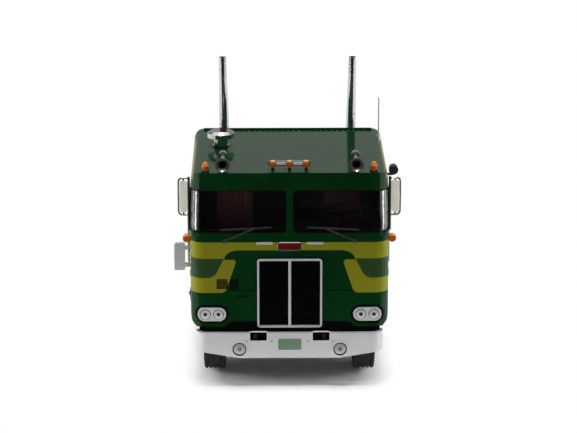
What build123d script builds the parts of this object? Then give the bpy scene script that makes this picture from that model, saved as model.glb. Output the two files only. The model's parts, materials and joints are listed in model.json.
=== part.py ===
from build123d import *

import os
from math import atan2, degrees

# Scale model of a cab-over sleeper tractor. The front faces -Y, +X is the driver's side, Z is up.
# Places along the truck are written as the distance behind the bumper's front face.

# Overall chain of lengths
FRONT_OVERHANG = 16.5
WHEELBASE = 92.0
TANDEM_SPREAD = 30.5
TAIL_OVERHANG = 18.25
LENGTH = FRONT_OVERHANG + WHEELBASE + TANDEM_SPREAD / 2 + TAIL_OVERHANG
TANDEM_CENTRE = FRONT_OVERHANG + WHEELBASE
DRIVE_AXLES = (TANDEM_CENTRE - TANDEM_SPREAD / 2, TANDEM_CENTRE + TANDEM_SPREAD / 2)

# Fits
FIT = 0.05
PRESS_GAP = 0.02
BEARING_GAP = 0.05
SIDE_PLAY = 0.3

# Wheels
TYRE_RADIUS = 12.0
TYRE_SHOULDER = 1.1
RIM_RADIUS = 6.7
RIM_WALL = 0.8
DISC_THICKNESS = 0.9
HUB_RADIUS = 2.3
HAND_HOLES = 10
HAND_HOLE = 0.6
HAND_CIRCLE = 4.75
PIN_RADIUS = 1.0
PIN_COVER = 1.2
FRONT_TYRE_WIDTH = 6.2
FRONT_TYRE_OUTER = 24.1
FRONT_HUB_PROUD = 0.5
DRIVE_TYRE_WIDTH = 5.8
DRIVE_TYRE_OUTER = 27.6
TWIN_GAP = 0.9
DRIVE_DISH = 3.6
DRIVE_HUB_LENGTH = 2.6
AXLE_Z = TYRE_RADIUS

# Cab casting
CAB_WIDTH = 55.0
CAB_SIDE = CAB_WIDTH / 2
CAB_FRONT = 2.0
CAB_LENGTH = 51.0
CAB_REAR = CAB_FRONT + CAB_LENGTH
ROOF_Z = 60.6
BELT_Z = 42.6
RAKE = 1.0
TUMBLE = 0.4
CAB_WALL = 1.4
CORNER_FRONT = 4.0
CORNER_REAR = 3.2
ROOF_EDGE = 2.2
FASCIA_Z = 16.6
FASCIA_NOTCH_Z = 18.2
FASCIA_NOTCH_HALF = 16.6
FASCIA_CHAMFER = 1.6
SKIRT_Z = 22.5
ARCH_RADIUS = 13.4
GROOVE = 0.3
GROOVE_DEPTH = 0.6

# Windows
SCREEN_LOW = 43.9
HEADER = 5.0
SCREEN_HIGH = ROOF_Z - HEADER
SCREEN_POST = 2.1
SCREEN_WRAP = 6.6
SCREEN_CORNER = 1.0
DOOR_GLASS_FRONT = 8.8
DOOR_GLASS_REAR = 22.6
DOOR_FRONT = 7.6
DOOR_REAR = 24.6
DOOR_LOW = 26.6
DOOR_DROP = 3.4
DOOR_HIGH = ROOF_Z - DOOR_DROP
LOCKER_FRONT = 29.0
LOCKER_REAR = 47.0
LOCKER_LOW = 24.4
LOCKER_HIGH = 33.4
GLASS_INSET = 0.15
GLASS_THICKNESS = 0.8

# Grille
GRILLE_WIDTH = 18.0
GRILLE_LOW = 16.5
GRILLE_HIGH = 36.4
GRILLE_BORDER = 0.55
GRILLE_POST = 0.75
GRILLE_CORNER = 0.9
GRILLE_DEPTH = 2.0
GRILLE_PROUD = 0.5
LOUVRE_COUNT = 18
LOUVRE_BACK = 0.5
LOUVRE_DEPTH = 0.7

# Headlamps
HEADLAMP_INSET = 5.9
HEADLAMP_X = CAB_SIDE - HEADLAMP_INSET
HEADLAMP_Z = 20.3
BEZEL_WIDTH = 7.9
BEZEL_HEIGHT = 3.9
BEZEL_POCKET = 0.8
POCKET_MARGIN = 0.7
BEZEL_PROUD = 0.35
LENS_RADIUS = 1.5
LENS_PITCH = 3.65
LENS_SINK = 0.6
LENS_DOME = 0.35

# Bumper
BUMPER_INSET = 1.6
BUMPER_HALF = CAB_SIDE - BUMPER_INSET
BUMPER_LOW = 8.1
BUMPER_HIGH = 15.4
BUMPER_WALL = 1.2
BUMPER_RETURN = 4.0
BUMPER_CORNER = 3.0
BUMPER_FLAT_HALF = 14.0
BUMPER_END_LOW = 10.1
TOW_INNER = 6.3
TOW_OUTER = 11.1
TOW_LOW = 13.1
TOW_HIGH = 15.1
FOG_X = 14.0
FOG_Z = 10.8
FOG_RADIUS = 1.8
FOG_FLANGE = 2.4
FOG_PROUD = 0.5
FOG_LENS = 1.75
FOG_SINK = 0.3

# Cab interior
FLOOR_Z = 25.6
FLOOR_THICKNESS = 1.0
COVER_HALF = 7.5
COVER_REAR = 27.0
COVER_Z = 38.0
BUNK_FRONT = 38.0
BUNK_Z = 37.0
DASH_REAR = 8.6
DASH_Z = 43.2
SEAT_X = 15.2
SEAT_WIDTH = 10.4
SEAT_FRONT = 18.0
SEAT_REAR = 30.0
SEAT_BASE_Z = 32.6
SEAT_CUSHION_Z = 36.4
SEAT_DROP = 8.2
SEAT_BACK_Z = ROOF_Z - SEAT_DROP
SEAT_BACK_THICKNESS = 2.6
SEAT_LEAN = 2.0
STEER_X = 14.6
STEER_RADIUS = 4.8
STEER_RIM = 0.38
STEER_REACH = 13.4
STEER_Z = 46.2
STEER_FOOT_Z = 41.6
STEER_COLUMN = 0.55
STEER_HUB = 0.9

# Roof fittings
HORN_INSET = 9.1
HORN_X = CAB_SIDE - HORN_INSET
HORN_FRONT = 3.2
HORN_LENGTH = 12.5
HORN_BELL = 2.0
HORN_LIP = 0.25
HORN_MOUTH = 2.6
HORN_THROAT = 0.55
HORN_LIFT = 0.12
HORN_FOOT = 0.9
MARKER_INSET = 4.35
MARKER_X = CAB_SIDE - MARKER_INSET
MARKER_BACK = 4.8
MARKER_RADIUS = 0.95
MARKER_HEIGHT = 2.6
BAR_HALF = 5.75
BAR_BACK = 7.2
BAR_DEPTH = 1.0
BAR_HEIGHT = 1.4
BAR_LIFT = 1.0
BAR_PITCH = 4.6
BAR_FOOT = 0.9
BAR_LAMP_RADIUS = 0.9
BAR_LAMP_DEPTH = 0.9
INTAKE_INSET = 8.3
INTAKE_X = INTAKE_INSET - CAB_SIDE
INTAKE_BACK = 33.0
INTAKE_STEM = 2.1
INTAKE_CAP = 3.9
INTAKE_STEM_HEIGHT = 2.7
INTAKE_RIM = 1.2
INTAKE_HEIGHT = 4.6
INTAKE_CROWN = 2.8
INTAKE_FOOT = 2.5
INTAKE_FOOT_HEIGHT = 0.5
AERIAL_INSET = 1.4
AERIAL_X = CAB_SIDE - AERIAL_INSET
AERIAL_BACK = 42.0
AERIAL_BASE = 0.55
AERIAL_FOOT_HEIGHT = 1.0
AERIAL_BASE_Z = ROOF_Z + AERIAL_FOOT_HEIGHT
AERIAL_RADIUS = 0.22
AERIAL_LENGTH = 10.9
AERIAL_TOP = AERIAL_BASE_Z + AERIAL_LENGTH

# Side fittings
MIRROR_STANDOFF = 3.5
MIRROR_REACH = CAB_SIDE + MIRROR_STANDOFF
MIRROR_LOW = 46.8
MIRROR_DROP = 3.2
MIRROR_HIGH = ROOF_Z - MIRROR_DROP
MIRROR_WIRE = 0.3
MIRROR_BEND = 1.1
MIRROR_GAP = 0.12
MIRROR_PIN = 0.25
MIRROR_PIN_LENGTH = 0.9
MIRROR_BACK = 9.2
MIRROR_DEPTH = 1.3
MIRROR_EDGE = 0.5
MIRROR_TUBE = 0.42
MIRROR_TUBE_LOW = 42.4
LOW_MIRROR_STANDOFF = 4.6
LOW_MIRROR_REACH = CAB_SIDE + LOW_MIRROR_STANDOFF
LOW_MIRROR_LOW = 30.9
LOW_MIRROR_HIGH = 38.6
LOW_MIRROR_BACK = 9.4
LOW_MIRROR_WIDTH = 3.0
LOW_MIRROR_FRAME = 0.9
SPOT_STANDOFF = 1.4
SPOT_X = CAB_SIDE + SPOT_STANDOFF
SPOT_BACK = 11.0
SPOT_DROP = 1.4
SPOT_Z = ROOF_Z - SPOT_DROP
SPOT_RADIUS = 1.2
SPOT_LENGTH = 2.6
SPOT_ARM = 0.5
SIGNAL_BACK = 6.4
SIGNAL_Z = 40.8
SIGNAL_RADIUS = 1.1
SIGNAL_ROUND = 0.45
SIGNAL_LENGTH = 2.2
SIGNAL_STALK = 0.5
SIGNAL_STEP = 0.5
WIPER_PIVOT = (18.0, 41.6)
WIPER_ELBOW = (9.8, 45.15)
WIPER_TIPS = ((19.0, 44.7), (5.0, 45.4))
WIPER_BOSS = 0.6
WIPER_THICKNESS = 0.35
WIPER_WIDTH = 0.4
RAIL_BACK = 26.4
RAIL_LOW = 28.0
RAIL_HIGH = 42.0
RAIL_STANDOFF = 1.0
RAIL_RADIUS = 0.35
RAIL_FOOT = 0.3
RAIL_FOOT_INSET = 1.0

# Chassis ladder
FRAME_HALF = 10.0
FRAME_LOW = 15.3
FRAME_HIGH = 21.5
FRAME_WEB = 0.8
FRAME_FLANGE = 2.0
HORN_LOW = 10.9
HORN_HIGH = 15.2
HORN_REAR = 6.2
FRAME_TAIL = 1.0
MEMBER_DEPTH = 2.4
MEMBERS = (46.0, 62.0, 78.0, 109.0, 132.0)
SCREW_PLACES = (46.0, 78.0)
SCREW_X = 5.2
SCREW_RADIUS = 1.1
SCREW_BOSS = 2.4
SCREW_LENGTH = 4.0
CAB_MOUNTS = (34.0, 50.0)
CAB_MOUNT_DEPTH = 2.0

# Engine and drive line
ENGINE_HALF = 7.0
ENGINE_FRONT = 8.0
ENGINE_REAR = 32.0
ENGINE_LOW = 15.0
ENGINE_HIGH = 25.2
SUMP_FRONT = 20.0
SUMP_LOW = 9.6
SUMP_HALF = 4.6
GEARBOX_HALF = 4.4
GEARBOX_REAR = 43.0
GEARBOX_LOW = 10.4
SHAFT_Z = 13.4
SHAFT_RADIUS = 1.1
JOINT_RADIUS = 1.9
JOINT_LENGTH = 2.2

# Front suspension
BEAM_DEPTH = 3.0
BEAM_LOW = 10.2
BEAM_HIGH = 13.8
SPRING_HALF_SPAN = 9.4
SPRING_LEAVES = 3
SPRING_STEP = 2.6
SPRING_EYE = 0.65
SPRING_WIDTH = 1.6

# Drive axles
HOUSING_RADIUS = 2.2
BANJO_RADIUS = 4.6
BANJO_HALF = 3.2
PINION_LENGTH = 6.0
REAR_LEAF_HALF_SPAN = 11.0

# Tanks
TANK_RADIUS = 7.0
TANK_X = 21.4
TANK_Z = 14.0
TANK_FRONT = 34.0
TANK_REAR = 72.0
TANK_EDGE = 1.6
FILLER_RADIUS = 1.3
FILLER_HEIGHT = 0.9
FILLER_BACK = 69.0
STRAP_PLACES = (41.0, 65.0)
STRAP_WIDTH = 1.6
STRAP_THICKNESS = 0.35
BRACKET_LOW = 16.0
BRACKET_HIGH = 20.6
AIR_TANK_RADIUS = 2.6
AIR_TANK_LENGTH = 10.0
AIR_TANK_BACK = 70.0

# Exhaust
STACK_X = 18.5
STACK_BACK = 57.6
STACK_RADIUS = 1.55
STACK_TIP = 1.05
STACK_WALL = 0.3
STACK_TOP = 81.0
STACK_LEAN = 0.5
STACK_BORE_DEPTH = 4.0
MUFFLER_RADIUS = 2.8
MUFFLER_HIGH = 52.0
MUFFLER_SHOULDER = 1.2
STACK_SHELF = 0.8
STACK_SHELF_DEPTH = 5.0
STACK_SHELF_REACH = STACK_X + MUFFLER_RADIUS

# Deck and fifth wheel
DECK_FRONT = 62.0
DECK_REAR = 79.0
DECK_THICKNESS = 0.7
FIFTH_BACK = 106.0
FIFTH_BASE_HALF = 7.5
FIFTH_BASE_HEIGHT = 2.6
FIFTH_HALF_WIDTH = 10.4
FIFTH_HALF_LENGTH = 10.6
FIFTH_THICKNESS = 1.8
FIFTH_CORNER = 5.0
KINGPIN_RADIUS = 1.5
THROAT = 1.9
THROAT_MOUTH = 9.0
RAMP_LENGTH = 4.4
RAMP_DROP = 1.1

# Tail
FLAP_BACK = 138.6
FLAP_THICKNESS = 0.7
FLAP_INNER = 15.2
FLAP_LOW = 4.2
FLAP_HIGH = 19.2
HANGER_RADIUS = 0.6
TAIL_LAMP_X = 6.0
TAIL_LAMP_RADIUS = 1.3


def at(distance):
    """Y of a place that lies this far behind the bumper's front face."""
    return distance - LENGTH / 2


def block(x, back, z):
    """Box between two X, two distances behind the bumper and two heights."""
    size = (x[1] - x[0], back[1] - back[0], z[1] - z[0])
    middle = ((x[0] + x[1]) / 2, at((back[0] + back[1]) / 2), (z[0] + z[1]) / 2)
    return Pos(*middle) * Box(*size)


def rod_x(radius, x, back, z):
    """Round bar along X between two X."""
    middle = Pos((x[0] + x[1]) / 2, at(back), z)
    return middle * Rot(0, 90, 0) * Cylinder(radius, x[1] - x[0])


def rod_y(radius, x, back, z):
    """Round bar along Y between two distances behind the bumper."""
    middle = Pos(x, at((back[0] + back[1]) / 2), z)
    return middle * Rot(90, 0, 0) * Cylinder(radius, back[1] - back[0])


def rod_z(radius, x, back, z):
    """Upright round bar between two heights."""
    return Pos(x, at(back), (z[0] + z[1]) / 2) * Cylinder(radius, z[1] - z[0])


def side_plate(points, x):
    """Plate between two X, its outline given as (distance behind the bumper, height)."""
    outline = Polygon(*[(at(back), z) for back, z in points], align=None)
    return extrude(Plane.YZ.offset(x[0]) * outline, amount=x[1] - x[0], dir=(1, 0, 0))


def front_plate(outline, back):
    """Sketch in X and Z, thickened between two distances behind the bumper."""
    return extrude(Plane.XZ.offset(-at(back[1])) * outline, amount=back[1] - back[0], dir=(0, -1, 0))


def turned_x(points, x=0.0, back=0.0, z=0.0):
    """Round piece about an axis along X, its profile given as (x, radius)."""
    profile = make_face(Polyline(*points, close=True))
    return Pos(x, at(back), z) * revolve(profile, axis=Axis.X)


def turned_z(points, x, back, z):
    """Round upright piece, its profile given as (radius, height)."""
    profile = make_face(Polyline(*points, close=True))
    return Pos(x, at(back), z) * revolve(Plane.XZ * profile, axis=Axis.Z)


def turned_y(points, x, back, z):
    """Round piece about an axis along Y, its profile given as (radius, distance back)."""
    profile = make_face(Polyline(*points, close=True))
    return Pos(x, at(back), z) * revolve(profile, axis=Axis.Y)


def other_side(shape):
    """The same piece on the other side of the truck."""
    return mirror(shape, about=Plane.YZ)


def pair(shape):
    """A piece and its mirror image, as two solids."""
    return [shape, other_side(shape)]


def cab_section(inset, back_step=0.0, side_step=0.0):
    """Plan outline of the cab, drawn in by an inset and by the lean of its walls."""
    half = CAB_WIDTH / 2 - inset - side_step
    front = at(CAB_FRONT) + inset + back_step
    rear = at(CAB_REAR) - inset
    outline = Pos(0, (front + rear) / 2) * Rectangle(2 * half, rear - front)
    outline = fillet(outline.vertices().sort_by(Axis.Y)[:2], CORNER_FRONT - inset)
    return fillet(outline.vertices().sort_by(Axis.Y)[-2:], CORNER_REAR - inset)


def shoulder_form(inset, low):
    """The cab's outline from the front with its rounded roof shoulders, run from front to rear."""
    half, top = CAB_SIDE - inset, ROOF_Z - inset
    shoulder = half - TUMBLE
    outline = Polygon((-half, low), (half, low), (half, BELT_Z), (shoulder, top), (-shoulder, top),
                      (-half, BELT_Z), align=None)
    outline = fillet(outline.vertices().sort_by(Axis.Y)[-2:], ROOF_EDGE - inset)
    return front_plate(outline, (0, LENGTH))


def cab_form(inset, low):
    """Solid form of the cab from a height up to its roof, drawn in by an inset."""
    top = ROOF_Z - inset
    belt = cab_section(inset)
    lower = extrude(Pos(0, 0, low) * belt, BELT_Z - low)
    upper = loft([Pos(0, 0, BELT_Z) * belt, Pos(0, 0, top) * cab_section(inset, RAKE, TUMBLE)], ruled=True)
    return (lower + upper) & shoulder_form(inset, low)


def rounded_frame(low, high, corner):
    """Rounded rectangle between two opposite corners."""
    middle = ((low[0] + high[0]) / 2, (low[1] + high[1]) / 2)
    return Pos(*middle) * RectangleRounded(high[0] - low[0], high[1] - low[1], corner)


def screen_cutter(gap):
    """Space of one windscreen pane, which wraps round the front corner."""
    low = (SCREEN_POST / 2 + gap, SCREEN_LOW + gap)
    high = (CAB_WIDTH, SCREEN_HIGH - gap)
    return front_plate(rounded_frame(low, high, SCREEN_CORNER), (-CAB_FRONT, SCREEN_WRAP - gap))


def door_glass_cutter(gap):
    """Space of one door window in the cab's side wall."""
    low = (at(DOOR_GLASS_FRONT + gap), SCREEN_LOW + gap)
    high = (at(DOOR_GLASS_REAR - gap), SCREEN_HIGH - gap)
    inner = CAB_WIDTH / 2 - TUMBLE - 2 * CAB_WALL
    pane = rounded_frame(low, high, SCREEN_CORNER)
    return extrude(Plane.YZ.offset(inner) * pane, amount=CAB_WIDTH / 2 - inner + CAB_WALL)


def window_cutters(gap):
    """Spaces of all four panes."""
    return pair(screen_cutter(gap)) + pair(door_glass_cutter(gap))


def side_groove(front, rear, low, high):
    """Engraved outline of a door in the cab's side wall."""
    outer = rounded_frame((at(front), low), (at(rear), high), SCREEN_CORNER + GROOVE)
    inner = rounded_frame((at(front + GROOVE), low + GROOVE), (at(rear - GROOVE), high - GROOVE), SCREEN_CORNER)
    start = CAB_WIDTH / 2 - GROOVE_DEPTH
    return extrude(Plane.YZ.offset(start) * (outer - inner), amount=2 * GROOVE_DEPTH)


def stadium(width, height):
    """Long round-ended outline."""
    return SlotOverall(width, height)


def headlamp_space(width, height, back):
    """Space of one twin headlamp, thickened between two distances behind the bumper."""
    return front_plate(Pos(HEADLAMP_X, HEADLAMP_Z) * stadium(width, height), back)


def build_cab_shell():
    """Hollow cab casting with its windows, wheel arches, pockets and engraved lines."""
    shell = cab_form(0, FASCIA_Z) - cab_form(CAB_WALL, FASCIA_Z - CAB_WALL)
    half = CAB_WIDTH
    shell -= block((-half, half), (FRONT_OVERHANG, LENGTH), (0, SKIRT_Z))
    shell -= rod_x(ARCH_RADIUS, (-half, half), FRONT_OVERHANG, AXLE_Z)
    notch = FASCIA_NOTCH_HALF
    step = FASCIA_NOTCH_Z - FASCIA_Z
    shell -= front_plate(
        Polygon((-notch - step, FASCIA_Z), (notch + step, FASCIA_Z), (notch, FASCIA_NOTCH_Z),
                (-notch, FASCIA_NOTCH_Z), align=None), (0, FRONT_OVERHANG))
    edge = CAB_WIDTH / 2
    corner = front_plate(
        Polygon((edge - FASCIA_CHAMFER, FASCIA_Z), (edge, FASCIA_Z), (edge, FASCIA_Z + FASCIA_CHAMFER),
                align=None), (0, FRONT_OVERHANG))
    opening = GRILLE_WIDTH / 2 + FIT
    hole = block((-opening, opening), (0, CAB_FRONT + 2 * CAB_WALL), (0, GRILLE_HIGH + FIT))
    shell -= fillet(hole.edges().filter_by(Axis.Y).group_by(Axis.Z)[-1], GRILLE_CORNER)
    margin = 2 * POCKET_MARGIN
    pocket = headlamp_space(BEZEL_WIDTH + margin, BEZEL_HEIGHT + margin, (0, CAB_FRONT + BEZEL_POCKET))
    groove = side_groove(DOOR_FRONT, DOOR_REAR, DOOR_LOW, DOOR_HIGH)
    locker = side_groove(LOCKER_FRONT, LOCKER_REAR, LOCKER_LOW, LOCKER_HIGH)
    for cutter in (corner, pocket, groove, locker):
        for side in pair(cutter):
            shell -= side
    for cutter in window_cutters(0):
        shell -= cutter
    return [shell]


def build_cab_glazing():
    """Windscreen panes and door windows, just inside the casting's outer face."""
    low = BELT_Z - CAB_WALL
    skin = cab_form(GLASS_INSET, low) - cab_form(GLASS_INSET + GLASS_THICKNESS, low - CAB_WALL)
    return [skin & cutter for cutter in window_cutters(FIT)]


def build_cab_floor():
    """Floor with the engine cover and the bunk, one moulding."""
    plan = cab_section(CAB_WALL + FIT)
    floor_top = FLOOR_Z + FLOOR_THICKNESS
    floor = extrude(Pos(0, 0, FLOOR_Z) * plan, FLOOR_THICKNESS)
    cover = block((-COVER_HALF, COVER_HALF), (CAB_FRONT + 2 * CAB_WALL, COVER_REAR), (floor_top, COVER_Z))
    room = block((-CAB_WIDTH, CAB_WIDTH), (BUNK_FRONT, LENGTH), (floor_top, BUNK_Z))
    bunk = extrude(Pos(0, 0, floor_top) * plan, BUNK_Z - floor_top) & room
    grille_room = block((-GRILLE_WIDTH, GRILLE_WIDTH), (0, CAB_FRONT + 2 * CAB_WALL - FIT), (0, GRILLE_HIGH))
    return [floor + cover + bunk - grille_room]


def build_dashboard():
    """Dashboard across the cab, on the engine cover and against the front wall."""
    plan = cab_section(CAB_WALL + FIT)
    slab = extrude(Pos(0, 0, COVER_Z) * plan, DASH_Z - COVER_Z)
    return [slab & block((-CAB_WIDTH, CAB_WIDTH), (0, DASH_REAR), (COVER_Z, DASH_Z))]


def build_seats():
    """Two seats, each with its pedestal, cushion and leaning back."""
    floor_top = FLOOR_Z + FLOOR_THICKNESS
    half = SEAT_WIDTH / 2
    reach = (SEAT_X - half, SEAT_X + half)
    back_foot = SEAT_REAR - SEAT_LEAN - SEAT_BACK_THICKNESS
    outline = (
        (SEAT_FRONT + SEAT_LEAN, floor_top), (back_foot, floor_top), (back_foot, SEAT_BASE_Z),
        (SEAT_REAR - SEAT_LEAN, SEAT_BASE_Z), (SEAT_REAR, SEAT_BACK_Z),
        (SEAT_REAR - SEAT_BACK_THICKNESS, SEAT_BACK_Z), (back_foot, SEAT_CUSHION_Z),
        (SEAT_FRONT, SEAT_CUSHION_Z), (SEAT_FRONT, SEAT_BASE_Z), (SEAT_FRONT + SEAT_LEAN, SEAT_BASE_Z))
    return pair(side_plate(outline, reach))


def build_steering_wheel():
    """Steering wheel with two spokes on a column that leans back from the dashboard."""
    reach, rise = STEER_REACH - DASH_REAR, STEER_Z - STEER_FOOT_Z
    column_length = 2 * (reach**2 + rise**2) ** 0.5
    wheel = Torus(STEER_RADIUS, STEER_RIM) + Cylinder(STEER_HUB, 2 * STEER_RIM)
    wheel += Box(2 * STEER_RADIUS, 2 * STEER_RIM, STEER_RIM)
    wheel += Pos(0, 0, -column_length / 2) * Cylinder(STEER_COLUMN, column_length)
    lean = degrees(atan2(reach, rise))
    wheel = Pos(STEER_X, at(STEER_REACH), STEER_Z) * Rot(-lean, 0, 0) * wheel
    return [wheel - block((0, CAB_WIDTH), (-LENGTH, DASH_REAR + FIT), (0, ROOF_Z))]


def build_grille_frame():
    """Plated frame of the grille with its middle post."""
    half = GRILLE_WIDTH / 2
    back = (CAB_FRONT - GRILLE_PROUD, CAB_FRONT - GRILLE_PROUD + GRILLE_DEPTH)
    frame = block((-half, half), back, (GRILLE_LOW, GRILLE_HIGH))
    frame = fillet(frame.edges().filter_by(Axis.Y), GRILLE_CORNER)
    low, high = GRILLE_LOW + GRILLE_BORDER, GRILLE_HIGH - GRILLE_BORDER
    for side in pair(block((GRILLE_POST / 2, half - GRILLE_BORDER), back, (low, high))):
        frame -= side
    return [frame]


def build_grille_louvres():
    """Two black panels of level louvres, one in each half of the frame."""
    low, high = GRILLE_LOW + GRILLE_BORDER + FIT, GRILLE_HIGH - GRILLE_BORDER - FIT
    x = (GRILLE_POST / 2 + FIT, GRILLE_WIDTH / 2 - GRILLE_BORDER - FIT)
    rear = CAB_FRONT - GRILLE_PROUD + GRILLE_DEPTH
    panel = block(x, (rear - LOUVRE_BACK, rear), (low, high))
    pitch = (high - low) / LOUVRE_COUNT
    front = rear - LOUVRE_BACK - LOUVRE_DEPTH
    for index in range(LOUVRE_COUNT):
        foot = low + index * pitch
        panel += side_plate(((rear - LOUVRE_BACK, foot), (front, foot), (rear - LOUVRE_BACK, foot + pitch / 2)), x)
    return pair(panel)


def build_front_bumper():
    """Folded bumper with swept-up ends, tow slots and lamp holes."""
    depth = BUMPER_RETURN
    middle = at(depth / 2)
    outer = Pos(0, middle) * Rectangle(2 * BUMPER_HALF, depth)
    outer = fillet(outer.vertices().sort_by(Axis.Y)[:2], BUMPER_CORNER)
    inner = Pos(0, middle + BUMPER_WALL) * Rectangle(2 * (BUMPER_HALF - BUMPER_WALL), depth)
    inner = fillet(inner.vertices().sort_by(Axis.Y)[:2], BUMPER_CORNER - BUMPER_WALL)
    bumper = extrude(Pos(0, 0, BUMPER_LOW) * (outer - inner), BUMPER_HIGH - BUMPER_LOW)
    sweep_up = front_plate(
        Polygon((BUMPER_FLAT_HALF, BUMPER_LOW), (BUMPER_HALF, BUMPER_LOW), (BUMPER_HALF, BUMPER_END_LOW),
                align=None), (0, depth))
    tow = block((TOW_INNER, TOW_OUTER), (0, depth), (TOW_LOW, TOW_HIGH))
    hole = rod_y(FOG_RADIUS + FIT, FOG_X, (0, depth), FOG_Z)
    for cutter in (sweep_up, tow, hole):
        for side in pair(cutter):
            bumper -= side
    return [bumper]


def build_bumper_lamps():
    """Round lamps let into the bumper, each with a flange round its sunk lens."""
    barrel = rod_y(FOG_RADIUS, FOG_X, (0, BUMPER_WALL), FOG_Z)
    lamp = barrel + rod_y(FOG_FLANGE, FOG_X, (-FOG_PROUD, 0), FOG_Z)
    return pair(lamp - rod_y(FOG_LENS, FOG_X, (-FOG_PROUD, FOG_SINK - FOG_PROUD), FOG_Z))


def build_headlamp_bezels():
    """Plated twin bezels in the pockets of the front wall."""
    floor = CAB_FRONT + BEZEL_POCKET
    bezel = headlamp_space(BEZEL_WIDTH, BEZEL_HEIGHT, (CAB_FRONT - BEZEL_PROUD, floor))
    for step in (-LENS_PITCH / 2, LENS_PITCH / 2):
        bezel -= rod_y(LENS_RADIUS + FIT, HEADLAMP_X + step, (0, CAB_FRONT - BEZEL_PROUD + LENS_SINK), HEADLAMP_Z)
    return pair(bezel)


def build_headlamp_lenses():
    """Four clear lenses, each with a shallow dome."""
    seat = CAB_FRONT - BEZEL_PROUD + LENS_SINK
    face = seat - LENS_SINK / 2
    lenses = []
    for step in (-LENS_PITCH / 2, LENS_PITCH / 2):
        dome = ((0, seat), (LENS_RADIUS, seat), (LENS_RADIUS, face), (LENS_RADIUS / 2, face - LENS_DOME),
                (0, face - LENS_DOME))
        lenses += pair(turned_y(dome, HEADLAMP_X + step, 0, HEADLAMP_Z))
    return lenses


def build_marker_lamps():
    """Amber lamps: one at each front corner of the roof and three on the bar."""
    bead = ((0, 0), (MARKER_RADIUS, 0), (MARKER_RADIUS, MARKER_HEIGHT - MARKER_RADIUS),
            (MARKER_RADIUS / 2, MARKER_HEIGHT), (0, MARKER_HEIGHT))
    lamps = pair(turned_z(bead, MARKER_X, MARKER_BACK, ROOF_Z))
    face = BAR_BACK - BAR_DEPTH / 2
    z = ROOF_Z + BAR_LIFT + BAR_HEIGHT / 2
    for place in (-BAR_PITCH, 0, BAR_PITCH):
        lamps.append(rod_y(BAR_LAMP_RADIUS, place, (face - BAR_LAMP_DEPTH, face), z))
    return lamps


def build_marker_bar():
    """Plated bar on three feet above the windscreen."""
    low, high = ROOF_Z + BAR_LIFT, ROOF_Z + BAR_LIFT + BAR_HEIGHT
    back = (BAR_BACK - BAR_DEPTH / 2, BAR_BACK + BAR_DEPTH / 2)
    bar = block((-BAR_HALF, BAR_HALF), back, (low, high))
    for place in (-BAR_PITCH, 0, BAR_PITCH):
        bar += block((place - BAR_FOOT / 2, place + BAR_FOOT / 2), back, (ROOF_Z, low))
    return [bar]


def build_air_horns():
    """Two trumpets on the roof's front edge, each on two feet."""
    z = ROOF_Z + HORN_BELL + HORN_LIFT
    flare, neck = HORN_LENGTH / 6, HORN_LENGTH / 3
    waist = (HORN_BELL + HORN_THROAT) / 2
    profile = ((0, HORN_MOUTH), (waist - HORN_LIP, HORN_MOUTH / 3), (HORN_BELL - HORN_LIP, 0), (HORN_BELL, 0),
               (HORN_BELL, HORN_LIP), (waist, HORN_MOUTH / 2), (HORN_THROAT, neck), (HORN_THROAT, HORN_LENGTH - flare),
               (HORN_THROAT * 2, HORN_LENGTH - flare), (HORN_THROAT * 2, HORN_LENGTH), (0, HORN_LENGTH))
    horn = turned_y(profile, HORN_X, HORN_FRONT, z)
    for place in (HORN_FRONT + neck, HORN_FRONT + HORN_LENGTH - flare / 2):
        horn += block((HORN_X - HORN_FOOT / 2, HORN_X + HORN_FOOT / 2),
                      (place - HORN_FOOT / 2, place + HORN_FOOT / 2), (ROOF_Z, z))
    return pair(horn)


def build_roof_intake():
    """Mushroom air intake with an overhanging cap."""
    rim_high = INTAKE_STEM_HEIGHT + INTAKE_RIM
    profile = ((0, 0), (INTAKE_FOOT, 0), (INTAKE_FOOT, INTAKE_FOOT_HEIGHT), (INTAKE_STEM, INTAKE_FOOT_HEIGHT),
               (INTAKE_STEM, INTAKE_STEM_HEIGHT), (INTAKE_CAP, INTAKE_STEM_HEIGHT), (INTAKE_CAP, rim_high),
               (INTAKE_CROWN, INTAKE_HEIGHT), (0, INTAKE_HEIGHT))
    return [turned_z(profile, INTAKE_X, INTAKE_BACK, ROOF_Z)]


def build_aerial():
    """Whip aerial on a foot that fits the roof's shoulder."""
    foot = rod_z(AERIAL_BASE, AERIAL_X, AERIAL_BACK, (ROOF_Z - ROOF_EDGE, AERIAL_BASE_Z))
    foot -= cab_form(0, BELT_Z - CAB_WALL)
    return [foot + rod_z(AERIAL_RADIUS, AERIAL_X, AERIAL_BACK, (AERIAL_BASE_Z, AERIAL_TOP))]


def mirror_frame(tube_x, back):
    """Tube bent round a tall mirror's head, from its upright beside the cab and back to it."""
    reach = MIRROR_REACH - MIRROR_WIRE
    line = Plane.XZ.offset(-at(back)) * FilletPolyline(
        (tube_x, MIRROR_HIGH), (reach, MIRROR_HIGH), (reach, MIRROR_LOW), (tube_x, MIRROR_LOW), radius=MIRROR_BEND)
    section = Plane(origin=line @ 0, z_dir=line % 0) * Circle(MIRROR_WIRE)
    return sweep(section, path=line)


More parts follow.
